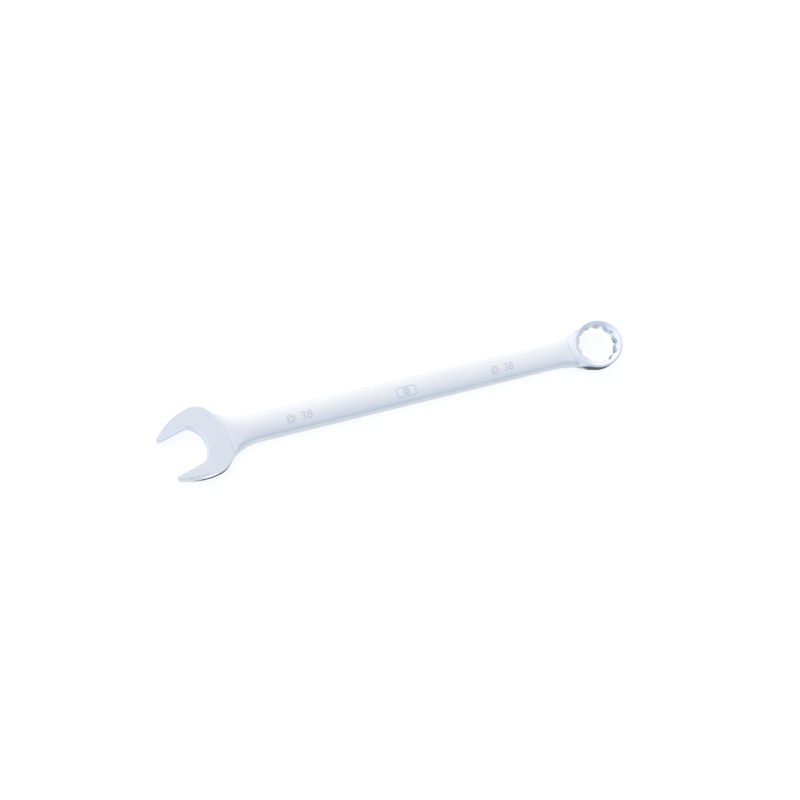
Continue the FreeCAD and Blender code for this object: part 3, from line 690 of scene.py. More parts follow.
@dataclass
class BoxEnd:
    """The twelve-point ring, raised and leaning back, and the neck in front of it.

    The hole's edge and the face's edge are rows of points, each given by how far out and how far up it lies
    from where the lead-in starts and ends.
    """

    place: Place
    section: BarSection = field(default_factory=BarSection)
    half_height: float = 9.5
    corner: float = 22.11
    wall: float = 4.8
    rim: float = 1.6
    rim_steps: int = 5
    rim_left: float = 0.6
    rim_fade: tuple[float, float] = (4.0, 0.6)
    back_lift: float = 0.03
    lead_in: float = 2.4
    lead_slope: float = 0.625
    lead_middle: float = 0.55
    hole_shares: tuple[float, ...] = (0.0, 0.4, 0.75)
    hole_edge: Rim = ((0.0, -0.35), (0.0, -0.06), (0.3, 0.18))
    face_edge: Rim = ((-0.3, -0.19), (0.05, -0.01), (0.3, 0.0))
    flat_shares: tuple[float, ...] = (0.0, 0.1, 0.35, 0.65, 0.9)
    turn: float = math.radians(-7.5)
    touch: float = math.radians(114.5)
    touch_from: int = 9
    touch_over: float = 4.0
    step_kept: float = 0.8
    neck_fillet: float = 9.0
    neck_side_run: float = 26.0
    satin_from: float = 6.5
    satin_fade: float = 2.0
    points: int = 12
    side_count: int = 7

    def __post_init__(self) -> None:
        """Work out the ring's radii and its own axes."""
        self.outer = self.corner + self.wall
        self.face = self.corner + self.lead_in
        self.inner = self.corner * math.cos(HALF_SIDE) / math.cos(math.pi / self.points)
        self.neck_reach = math.pi - self.touch
        self.normal = self.place.ring_axis
        self.across = vec(0.0, 1.0, 0.0)
        self.along = np.cross(self.across, self.normal)

    def spot(self, plan: Point, height: float) -> Point:
        """A point given in the ring's own plane and along its axis."""
        return (self.place.ring_centre + self.along * plan[0] + self.across * plan[1]
                + self.normal * height)

    def stations(self) -> list[Point]:
        """Points round the hole: its corners, its inner points and places on the flats between them."""
        step = math.pi / self.points
        found = []
        for k in range(2 * self.points):
            radii = (self.corner, self.inner) if k % 2 == 0 else (self.inner, self.corner)
            one = polar((0.0, 0.0), radii[0], self.turn + step * k)
            two = polar((0.0, 0.0), radii[1], self.turn + step * (k + 1))
            found += [mix(one, two, share) for share in self.flat_shares]
        return found

    def rim_drop(self, angle: float, front: int) -> float:
        """How much of the rim's rounding is left at an angle, where the neck runs out under the ring."""
        inside = (self.neck_reach - abs(math.pi - angle % FULL_TURN)) / self.neck_reach
        steepness, start = self.rim_fade
        return 1.0 if front > 0 else mix(1.0, self.rim_left, ease(inside * steepness + start))

    def column(self, hole: Point, front: int) -> list[Point]:
        """The skin at one station, from halfway down the hole over the rim to the top of the outer wall.

        Args:
            hole: the station's point on the hole's wall, in the ring's plane.
            front: 1 for the front face, -1 for the back.

        Returns:
            The points in order.
        """
        radius = float(np.linalg.norm(hole))
        way = hole / radius
        top = self.half_height - (0.0 if front > 0 else self.back_lift)
        lead_from = top - (self.face - radius) * self.lead_slope
        rows = [(radius, lead_from * share) for share in self.hole_shares]
        rows += [(radius + out, lead_from + up) for out, up in self.hole_edge]
        rows.append((mix(radius, self.face, self.lead_middle), mix(lead_from, top, self.lead_middle)))
        rows += [(self.face + out, top + up) for out, up in self.face_edge]
        left = self.rim_drop(math.atan2(hole[1], hole[0]), front)
        for k in range(self.rim_steps + 1):
            turn = math.pi / 2 * k / self.rim_steps
            rows.append((self.outer - self.rim * (1 - math.sin(turn)),
                         top - self.rim * (1 - math.cos(turn)) * left))
        return [self.spot(way * reach, front * height) for reach, height in rows]

    def flare(self, side: int) -> Path:
        """One side of the neck, from the bar's width out to the ring, starting at the ring.

        Args:
            side: 1 on the upper side, -1 on the lower.

        Returns:
            The plan line.
        """
        start = self.spot(polar((0.0, 0.0), self.outer, self.touch), 0.0)
        slope = math.atan2(-math.cos(self.touch), math.sin(self.touch) * self.along[0])
        half, y0 = self.section.half_width, self.place.crossing[1]
        rise = start[1] - (y0 + half)
        radius = rise / (1 - math.cos(slope))
        centre = vec(start[0] - radius * math.sin(slope), y0 + half + radius)
        points = arc(centre, radius, slope - math.pi / 2, -math.pi / 2)
        points += straight(vec(centre[0], y0 + half), vec(self.place.shank_to, y0 + half), count=10)[1:]
        return Path(vec(x, y0 + side * (y - y0)) for x, y in points)

    def build(self) -> bpy.types.Object:
        """Make the ring and its neck as one closed piece."""
        holes = self.stations()
        angles = [math.atan2(hole[1], hole[0]) % FULL_TURN for hole in holes]
        order = sorted(range(len(holes)), key=lambda k: angles[k])
        holes = [holes[k] for k in order]
        angles = [angles[k] for k in order]
        first = min(range(len(angles)), key=lambda k: abs(angles[k] - self.touch))
        last = min(range(len(angles)), key=lambda k: abs(angles[k] - (FULL_TURN - self.touch)))
        ends = {first: self.touch, last: FULL_TURN - self.touch}
        skin = Skin("box_end_forging")
        level, sides = self.place.crossing[2], self.side_count
        for front in (1, -1):
            columns = [self.column(hole, front) for hole in holes]
            for number, angle in ends.items():
                columns[number] = self.turned(columns[number], angle)
            walls = [self.wall_down(column[-1], sides) for column in columns]
            skin.add([list(row) for row in zip(*(columns + columns[:1]))])
            ring_wall = walls[last:] + walls[:first + 1]
            skin.add([list(row) for row in zip(*ring_wall)])
            start = walls[last][::-1][:-1] + [column[-1] for column in columns[first:last + 1]][::-1]
            start += walls[first][1:]
            inner_count = len(start) - 2 * sides
            crown = [column[-1] for column in columns[first + 1:last]][::-1]
            shares = self.crown_shares(crown, inner_count)
            end = [vec(self.place.shank_to, self.place.crossing[1] + y, level + front * z)
                   for y, z in self.section.columns(sides, shares)]
            skin.add(neck_grid(start, end, (self.flare(-1), self.flare(1)), sides, self.neck_fillet,
                               self.neck_side_run, self.gap))
        return skin.finish(lambda point: ease((self.gap(point) - self.satin_from) / self.satin_fade))

    def gap(self, point: Point) -> float:
        """How far a point lies outside the ring's wall."""
        offset = point - self.place.ring_centre
        return float(np.linalg.norm(offset - self.normal * (offset @ self.normal))) - self.outer

    def crown_shares(self, crown: list[Point], count: int) -> list[float]:
        """Where the neck's middle lines meet the bar, kept in step with where they leave the ring."""
        lows, highs = crown[0][1], crown[-1][1]
        even = [(k + 1) / (count + 1) for k in range(count)]
        kept = [(point[1] - lows) / (highs - lows) for point in crown]
        margin = 1.0 / (count + 1)
        return [mix(a, margin + b * (1 - 2 * margin), self.step_kept) for a, b in zip(even, kept)]

    def turned(self, column: list[Point], angle: float) -> list[Point]:
        """A station's outer part moved to another angle, so that a neck's side starts there."""
        moved = []
        for number, point in enumerate(column):
            offset = point - self.place.ring_centre
            plan = vec(offset @ self.along, offset @ self.across)
            share = ease((number - self.touch_from) / self.touch_over)
            now = math.atan2(plan[1], plan[0]) % FULL_TURN
            moved.append(self.spot(polar((0.0, 0.0), float(np.linalg.norm(plan)), mix(now, angle, share)),
                                   float(offset @ self.normal)))
        return moved

    def wall_down(self, top: Point, count: int) -> list[Point]:
        """Points from the top of the ring's outer wall to halfway down it."""
        height = float((top - self.place.ring_centre) @ self.normal)
        return [top - self.normal * height * k / (count - 1) for k in range(count)]


class Nodes:
    """Adds nodes to a tree, with their settings and inputs in one call."""

    def __init__(self, tree: bpy.types.NodeTree) -> None:
        """Work on this tree."""
        self.tree = tree

    def add(self, kind: str, inputs: dict[str | int, object] | None = None,
            **settings: object) -> bpy.types.Node:
        """Add a node.

        Args:
            kind: the node's type name.
            inputs: a value or another node's output for each input, by name or number.
            settings: the node's own properties.

        Returns:
            The node.
        """
        node = self.tree.nodes.new(kind)
        for name, value in settings.items():
            setattr(node, name, value)
        for name, value in (inputs or {}).items():
            if isinstance(value, bpy.types.NodeSocket):
                self.tree.links.new(value, node.inputs[name])
            else:
                node.inputs[name].default_value = value
        return node

    def ramp(self, factor: bpy.types.NodeSocket,
             stops: Sequence[tuple[float, Tint]]) -> bpy.types.NodeSocket:
        """A colour ramp's output, with its stops given as places and colours."""
        node = self.add("ShaderNodeValToRGB", {0: factor})
        ramp = node.color_ramp
        while len(ramp.elements) < len(stops):
            ramp.elements.new(0.5)
        for element, (place, colour) in zip(ramp.elements, stops):
            element.position = place
            element.color = (*colour, 1.0)
        return node.outputs["Color"]

    def between(self, value: bpy.types.NodeSocket, low: float, high: float,
                to_low: float, to_high: float) -> bpy.types.NodeSocket:
        """A value carried from one range to another, held at its ends."""
        return self.add("ShaderNodeMapRange", {"Value": value, "From Min": low, "From Max": high,
                                               "To Min": to_low, "To Max": to_high}).outputs["Result"]

    def math(self, operation: str, one: object, two: object = 0.0) -> bpy.types.NodeSocket:
        """The result of one sum."""
        return self.add("ShaderNodeMath", {0: one, 1: two}, operation=operation).outputs[0]

    def product(self, factors: Iterable[object]) -> bpy.types.NodeSocket:
        """Several values multiplied together."""
        return functools.reduce(lambda one, two: self.math("MULTIPLY", one, two), factors)

    def blend(self, share: object, one: object, two: object, kind: str = "FLOAT") -> bpy.types.NodeSocket:
        """A number, or a colour where the kind is RGBA, that lies a share of the way from one to another."""
        first, output = (6, 2) if kind == "RGBA" else (2, 0)
        mixed = self.add("ShaderNodeMix", {0: share, first: one, first + 1: two}, data_type=kind)
        return mixed.outputs[output]

    def noise(self, place: bpy.types.NodeSocket, scale: float, detail: float,
              stretch: tuple[float, float, float] = (1.0, 1.0, 1.0)) -> bpy.types.NodeSocket:
        """A noise over the piece's own place, finer across than along where it is stretched."""
        at = self.add("ShaderNodeMapping", {"Vector": place, "Scale": stretch}).outputs["Vector"]
        return self.add("ShaderNodeTexNoise", {"Vector": at, "Scale": scale, "Detail": detail}).outputs["Fac"]


@dataclass(frozen=True)
class Gloss:
    """How chrome plate looks in one state: its colour, its roughness and the height of its fine marks."""

    tint: Tint
    shade: Tint
    roughness: float
    cloud: float
    peel: float
    brush: float


@dataclass(frozen=True)
class Chrome:
    """Chrome plate on ground steel, polished in some places and satin in others.

    Cloud, patch, peel and lines are noises, each given by its scale and its detail.
    """

    name: str
    polished: Gloss
    satin: Gloss
    cloud: tuple[float, float] = (38.0, 4.0)
    patch: tuple[float, float] = (11.0, 2.0)
    peel: tuple[float, float] = (420.0, 2.0)
    lines: tuple[float, float] = (60.0, 3.0)
    line_stretch: tuple[float, float, float] = (1.0, 22.0, 22.0)
    patch_weight: float = 0.6
    line_weight: float = 0.4
    line_rough: float = 0.12
    cloud_range: tuple[float, float] = (0.3, 0.7)
    tone_range: tuple[float, float] = (0.35, 0.62)
    scratch_stretch: tuple[float, float, float] = (35.0, 260.0, 260.0)
    scratch_turn: tuple[float, float, float] = (0.0, 0.0, 0.5)
    scratch_width: float = 0.018
    scratch_rough: float = 0.05
    scratch_depth: float = 0.2
    wear: tuple[float, float, float, float] = (0.93, 0.95, 0.98, 1.0)
    wear_share: float = 0.3
    wear_rough: float = 0.06
    bump_strength: float = 0.35
    bump_height: float = 0.00004

    def scratches(self, nodes: Nodes, place: bpy.types.NodeSocket) -> bpy.types.NodeSocket:
        """Fine slanting scratches, 1 in a scratch and 0 beside it."""
        cells = nodes.add("ShaderNodeMapping", {"Vector": place, "Scale": self.scratch_stretch,
                                                "Rotation": self.scratch_turn}).outputs["Vector"]
        cells = nodes.add("ShaderNodeTexVoronoi", {"Vector": cells, "Scale": 1.0},
                          feature="DISTANCE_TO_EDGE").outputs["Distance"]
        return nodes.between(cells, 0.0, self.scratch_width, 1.0, 0.0)

    def material(self) -> bpy.types.Material:
        """Make the finish as a material."""
        made = bpy.data.materials.new(self.name)
        made.use_nodes = True
        nodes, link = Nodes(made.node_tree), made.node_tree.links.new
        shader = made.node_tree.nodes["Principled BSDF"]
        shader.inputs["Metallic"].default_value = 1.0
        place = nodes.add("ShaderNodeTexCoord").outputs["Object"]
        share = nodes.add("ShaderNodeAttribute", attribute_name=SATIN_SHARE).outputs["Fac"]
        wear = nodes.add("ShaderNodeAttribute", attribute_name=EDGE).outputs["Fac"]
        cloud, patch, peel = (nodes.noise(place, *sizes) for sizes in (self.cloud, self.patch, self.peel))
        lines = nodes.noise(place, *self.lines, self.line_stretch)
        scratch = self.scratches(nodes, place)
        tone = nodes.math("ADD", nodes.math("MULTIPLY", patch, self.patch_weight),
                          nodes.math("MULTIPLY", lines, self.line_weight))
        rough, colours, heights = [], [], []
        for gloss in (self.polished, self.satin):
            clouded = nodes.between(cloud, *self.cloud_range, gloss.roughness - gloss.cloud,
                                    gloss.roughness + gloss.cloud)
            streaks = nodes.math("MULTIPLY", lines, gloss.brush * self.line_rough)
            rough.append(nodes.math("ADD", clouded, streaks))
            stops = zip(self.tone_range, (gloss.shade, gloss.tint))
            colours.append(nodes.ramp(tone, tuple(stops)))
            heights.append(nodes.math("ADD", nodes.math("MULTIPLY", peel, gloss.peel),
                                      nodes.math("MULTIPLY", lines, gloss.brush)))
        rough = nodes.math("ADD", nodes.blend(share, *rough),
                           nodes.math("MULTIPLY", scratch, self.scratch_rough))
        rough = nodes.math("ADD", rough, nodes.math("MULTIPLY", wear, self.wear_rough))
        link(rough, shader.inputs["Roughness"])
        colour = nodes.blend(share, *colours, kind="RGBA")
        worn = nodes.math("MULTIPLY", wear, self.wear_share)
        link(nodes.blend(worn, colour, self.wear, kind="RGBA"), shader.inputs["Base Color"])
        height = nodes.math("SUBTRACT", nodes.blend(share, *heights),
                            nodes.math("MULTIPLY", scratch, self.scratch_depth))
        bump = nodes.add("ShaderNodeBump", {"Height": height, "Strength": self.bump_strength,
                                            "Distance": self.bump_height})
        link(bump.outputs["Normal"], shader.inputs["Normal"])
        return made


MIRROR = Gloss((0.84, 0.865, 0.90), (0.79, 0.82, 0.87), 0.13, 0.025, 0.5, 0.15)
SILK = Gloss((0.85, 0.87, 0.89), (0.81, 0.835, 0.87), 0.27, 0.035, 0.35, 0.8)
FROST = Gloss((0.66, 0.70, 0.78), (0.60, 0.65, 0.74), 0.36, 0.04, 0.9, 0.2)
POLISHED = Chrome("polished_chrome", MIRROR, SILK)
SATIN = Chrome("satin_chrome", MIRROR, SILK)
STAMPED = Chrome("stamped_chrome", FROST, FROST)


class Mark(Enum):
    """The plain marks that stand on the bar."""

    SIZE_NEAR_JAW = ("size_mark_near_jaw", 92.0, "38")
    CENTRE = ("centre_mark", 204.8, "")
    SIZE_NEAR_RING = ("size_mark_near_ring", 316.8, "38")


@dataclass
class Marks:
    """The across-flats number beside a nut's outline, and the plain badge in the middle."""

    place: Place
    section: BarSection = field(default_factory=BarSection)
    digit_height: float = 9.2
    font_size: float = 1.35
    digits_at: float = 6.4
    stand: float = 0.22
    root: float = 0.12
    nut_radius: float = 4.6
    nut_at: float = -9.8
    badge_radius: float = 3.6
    bore_share: float = 0.52
    bore_sides: int = 40
    tube_sides: int = 8
    corner_steps: int = 6
    weld: float = 1e-6
    frame: tuple[float, float, float] = (20.5, 9.8, 2.4)
    stroke: float = 0.42
    side_shift: float = -0.2

    def tree(self) -> bpy.types.NodeTree:
        """Make the node tree that draws a mark and bends it to the bar's crown."""
        tree = bpy.data.node_groups.new("crown_mark", "GeometryNodeTree")
        inputs = (("Number", "NodeSocketString"), ("Digit Height", "NodeSocketFloat"),
                  ("Digits At", "NodeSocketFloat"), ("Nut Radius", "NodeSocketFloat"),
                  ("Nut At", "NodeSocketFloat"), ("Bore Radius", "NodeSocketFloat"),
                  ("Stroke", "NodeSocketFloat"), ("Stand", "NodeSocketFloat"), ("Root", "NodeSocketFloat"),
                  ("Framed", "NodeSocketBool"), ("Frame Width", "NodeSocketFloat"),
                  ("Frame Height", "NodeSocketFloat"), ("Frame Corner", "NodeSocketFloat"),
                  ("Crown", "NodeSocketFloat"), ("Centre", "NodeSocketVector"),
                  ("Finish", "NodeSocketMaterial"))
        for name, kind in inputs:
            tree.interface.new_socket(name, in_out="INPUT", socket_type=kind)
        tree.interface.new_socket("Geometry", in_out="OUTPUT", socket_type="NodeSocketGeometry")
        nodes = Nodes(tree)
        given = nodes.add("NodeGroupInput")
        depth = nodes.math("ADD", given.outputs["Stand"], given.outputs["Root"])
        joined = nodes.add("GeometryNodeJoinGeometry")
        for part in (self.number(nodes, given, depth), *self.outlines(nodes, given, depth)):
            tree.links.new(part, joined.inputs[0])
        bent = nodes.add("GeometryNodeSetPosition", {"Geometry": joined.outputs[0],
                                                     "Offset": self.offset(nodes, given)}).outputs[0]
        real = nodes.add("GeometryNodeRealizeInstances", {0: bent}).outputs[0]
        done = nodes.add("GeometryNodeSetMaterial", {"Geometry": real, "Material": given.outputs["Finish"]})
        nodes.add("NodeGroupOutput", {0: done.outputs[0]})
        return tree

    def number(self, nodes: Nodes, given: bpy.types.Node,
               depth: bpy.types.NodeSocket) -> bpy.types.NodeSocket:
        """The number in raised figures.

        Args:
            nodes: the tree's nodes.
            given: the node that gives the tree's inputs.
            depth: how deep a mark is, its root included.

        Returns:
            The figures as closed shells, beside the nut's outline.
        """
        text = nodes.add("GeometryNodeStringToCurves", {"String": given.outputs["Number"],
                                                        "Size": given.outputs["Digit Height"]},
                         align_x="CENTER", align_y="MIDDLE")
        digits = nodes.add("GeometryNodeRealizeInstances", {0: text.outputs[0]}).outputs[0]
        fine = nodes.add("GeometryNodeResampleCurve", {"Curve": digits}, mode="EVALUATED").outputs[0]
        flat = nodes.add("GeometryNodeFillCurve", {"Curve": fine}, mode="TRIANGLES").outputs[0]
        raised = nodes.add("GeometryNodeExtrudeMesh", {"Mesh": flat, "Offset Scale": depth,
                                                       "Individual": False}).outputs[0]
        under = nodes.add("GeometryNodeFlipFaces", {0: flat}).outputs[0]
        shell = nodes.add("GeometryNodeJoinGeometry")
        for part in (raised, under):
            nodes.tree.links.new(part, shell.inputs[0])
        whole = nodes.add("GeometryNodeMergeByDistance", {0: shell.outputs[0], "Distance": self.weld})
        digits_at = nodes.add("ShaderNodeCombineXYZ", {0: given.outputs["Digits At"]}).outputs[0]
        return nodes.add("GeometryNodeTransform", {0: whole.outputs[0], "Translation": digits_at}).outputs[0]

    def outlines(self, nodes: Nodes, given: bpy.types.Node,
                 depth: bpy.types.NodeSocket) -> list[bpy.types.NodeSocket]:
        """The nut's outline, its bore and the frame.

        Args:
            nodes: the tree's nodes.
            given: the node that gives the tree's inputs.
            depth: how deep a mark is, its root included.

        Returns:
            The three outlines as flattened tubes; the frame is empty where the mark has none.
        """
        half_depth = nodes.math("MULTIPLY", depth, 0.5)
        flatness = nodes.math("DIVIDE", half_depth, given.outputs["Stroke"])
        squash = nodes.add("ShaderNodeCombineXYZ", {0: 1.0, 1: 1.0, 2: flatness})
        at = nodes.add("ShaderNodeCombineXYZ", {0: given.outputs["Nut At"], 2: half_depth})
        lines = [nodes.add("GeometryNodeCurvePrimitiveCircle", {"Resolution": sides,
                                                                "Radius": given.outputs[radius]})
                 for sides, radius in ((6, "Nut Radius"), (self.bore_sides, "Bore Radius"))]
        box = nodes.add("GeometryNodeCurvePrimitiveQuadrilateral", {"Width": given.outputs["Frame Width"],
                                                                   "Height": given.outputs["Frame Height"]})
        frame = nodes.add("GeometryNodeFilletCurve", {"Curve": box.outputs[0], "Count": self.corner_steps,
                                                      "Radius": given.outputs["Frame Corner"]}, mode="POLY")
        frame = nodes.add("GeometryNodeResampleCurve", {"Curve": frame.outputs[0],
                                                        "Length": given.outputs["Stroke"]}, mode="LENGTH")
        lines.append(nodes.add("GeometryNodeSwitch", {"Switch": given.outputs["Framed"],
                                                      "True": frame.outputs[0]}, input_type="GEOMETRY"))
        tubes = []
        for line in lines:
            profile = nodes.add("GeometryNodeCurvePrimitiveCircle", {"Resolution": self.tube_sides,
                                                                     "Radius": given.outputs["Stroke"]})
            tube = nodes.add("GeometryNodeCurveToMesh", {"Curve": line.outputs[0],
                                                         "Profile Curve": profile.outputs[0]}).outputs[0]
            tubes.append(nodes.add("GeometryNodeTransform", {0: tube, "Translation": at.outputs[0],
                                                             "Scale": squash.outputs[0]}).outputs[0])
        return tubes

    def offset(self, nodes: Nodes, given: bpy.types.Node) -> bpy.types.NodeSocket:
        """How far each point moves to lie in place on the bar's crown."""
        here = nodes.add("ShaderNodeSeparateXYZ", {0: nodes.add("GeometryNodeInputPosition").outputs[0]})
        crown = given.outputs["Crown"]
        side = nodes.math("MULTIPLY", here.outputs[1], here.outputs[1])
        height = nodes.math("SQRT", nodes.math("SUBTRACT", nodes.math("MULTIPLY", crown, crown), side))
        lift = nodes.math("SUBTRACT", nodes.math("SUBTRACT", height, crown), given.outputs["Root"])
        rise = nodes.add("ShaderNodeCombineXYZ", {2: lift}).outputs[0]
        return nodes.add("ShaderNodeVectorMath", {0: given.outputs["Centre"], 1: rise},
                         operation="ADD").outputs[0]

    def build(self, mark: Mark, tree: bpy.types.NodeTree, finish: bpy.types.Material) -> bpy.types.Object:
        """Make one mark.

        Args:
            mark: which one.
            tree: the marks' node tree.
            finish: the marks' material.

        Returns:
            The mark as a plain mesh, in place.
        """
        name, along, number = mark.value
        centre = self.place.crossing + vec(along, self.side_shift, self.section.half_height)
        values = {
            "Number": number, "Digit Height": self.digit_height * MM * self.font_size,
            "Digits At": self.digits_at * MM,
            "Framed": not number, "Frame Width": self.frame[0] * MM, "Frame Height": self.frame[1] * MM,
            "Frame Corner": self.frame[2] * MM,
            "Nut Radius": (self.nut_radius if number else self.badge_radius) * MM,
            "Nut At": self.nut_at * MM if number else 0.0,
            "Bore Radius": (self.nut_radius if number else self.badge_radius) * MM * self.bore_share,
            "Stroke": self.stroke * MM, "Stand": self.stand * MM, "Root": self.root * MM,
            "Crown": self.section.crown * MM, "Centre": tuple(centre * MM), "Finish": finish,
        }
        holder = bpy.data.objects.new(name + "_nodes", bpy.data.meshes.new(name + "_nodes"))
        bpy.context.scene.collection.objects.link(holder)
        modifier = holder.modifiers.new("mark", "NODES")
        modifier.node_group = tree
        for item in tree.interface.items_tree:
            if item.item_type == "SOCKET" and item.in_out == "INPUT":
                modifier[item.identifier] = values[item.name]
        graph = bpy.context.evaluated_depsgraph_get()
        mesh = bpy.data.meshes.new_from_object(holder.evaluated_get(graph))
        bpy.data.objects.remove(holder)
        mesh.name = name
        piece = bpy.data.objects.new(name, mesh)
        bpy.context.scene.collection.objects.link(piece)
        return piece


@dataclass(frozen=True)
class Fade:
    """A soft step along one measure of the sky, over which a panel sets in or stops."""

    measure: str
    start: float
    end: float
    sets_in: bool = True


@dataclass(frozen=True)
class Panel:
    """A soft panel of the sky: its tint, and the fades that bound it."""

    tint: Tint
    fades: tuple[Fade, ...]


class End(Enum):
    """The wrench's two ends, as the painted shadow patches on the mirrored floor name them."""

    HEAD = "head"
    RING = "ring"


@dataclass(frozen=True)
class ShadowPatch:
    """A round patch of painted shadow on the mirrored floor: its end, its shift from there, its edge, and its
    tint.
    """

    end: End
    shift: tuple[float, float]
    solid: float
    clear: float
    tint: Tint
    in_front: bool = False


SKY = ((0.00, (0.80, 0.87, 0.90)), (0.03, (0.75, 0.82, 0.865)), (0.15, (0.64, 0.71, 0.79)),
       (0.28, (0.52, 0.58, 0.70)), (0.37, (0.57, 0.63, 0.75)), (0.43, (0.65, 0.72, 0.83)),
       (0.46, (0.74, 0.80, 0.895)), (0.49, (0.84, 0.885, 0.955)), (0.52, (0.90, 0.93, 0.99)),
       (0.58, (0.96, 0.975, 1.015)), (0.645, (1.05, 1.035, 1.05)), (0.72, (1.12, 1.10, 1.09)),
       (1.00, (1.15, 1.15, 1.15)))
OVERHEAD = (-0.02, 0.14)        # the x and y of the overhead panel's middle
FRONT = (Fade("y", -0.62, -0.74), Fade("z", 0.36, 0.40), Fade("z", 0.50, 0.53, False),
         Fade("x", 0.05, 0.1, False))
PANELS = (
    Panel((0.85, 0.87, 0.945), (Fade("off", 0.14, 0.28, False), Fade("z", 0.2, 0.6))),      # overhead
    Panel((1.0, 1.14, 1.2), (Fade("x", -0.35, -0.9),)),                                     # left
    Panel((0.72, 0.76, 0.81), (Fade("x", 0.5, 0.75), Fade("z", 0.25, 0.5))),                # right
    Panel((0.88, 0.92, 0.98), (Fade("x", 0.6, 0.9), Fade("z", 0.25, 0.5, False))),          # low right
    Panel((1.35, 1.3, 1.35), (*FRONT, Fade("x", -0.035, -0.02))),                           # white, in front
    Panel((0.24, 0.16, 0.20), (*FRONT, Fade("x", -0.035, -0.02, False))),                   # brown, in front
)
# Painted shade of the mirrored floor across the wrench: grey in front, where the floor lies in shade, white
# behind.
MIRROR_SHADE = ((0.0, (0.72, 0.79, 0.86)), (0.5, (0.62, 0.70, 0.84)), (0.75, (0.9, 0.95, 1.0)),
            (1.0, (1.05, 1.05, 1.06)))
# The tone of the painted contact shadows close under the head and the ring.
SHADOW_DARK = (0.07, 0.09, 0.11)
# Painted shadows on the mirrored floor, seen only in reflections: dark close under the head and the ring, a
# wider dark painted drop shadow beside the ring, and painted blue-grey shade on the floor inside the jaw and
# the ring's hole.
PAINTED_SHADOWS = (
    ShadowPatch(End.HEAD, (0.0, 0.0), 40.0, 43.0, SHADOW_DARK, in_front=True),
    ShadowPatch(End.RING, (0.0, 0.0), 29.0, 32.0, SHADOW_DARK, in_front=True),
    ShadowPatch(End.RING, (20.0, -38.0), 32.0, 42.0, (0.11, 0.13, 0.16)),
    ShadowPatch(End.HEAD, (-4.0, 0.0), 23.0, 25.0, (0.66, 0.77, 0.95)),
    ShadowPatch(End.RING, (0.0, 0.0), 19.0, 21.0, (0.52, 0.60, 0.72)),
)


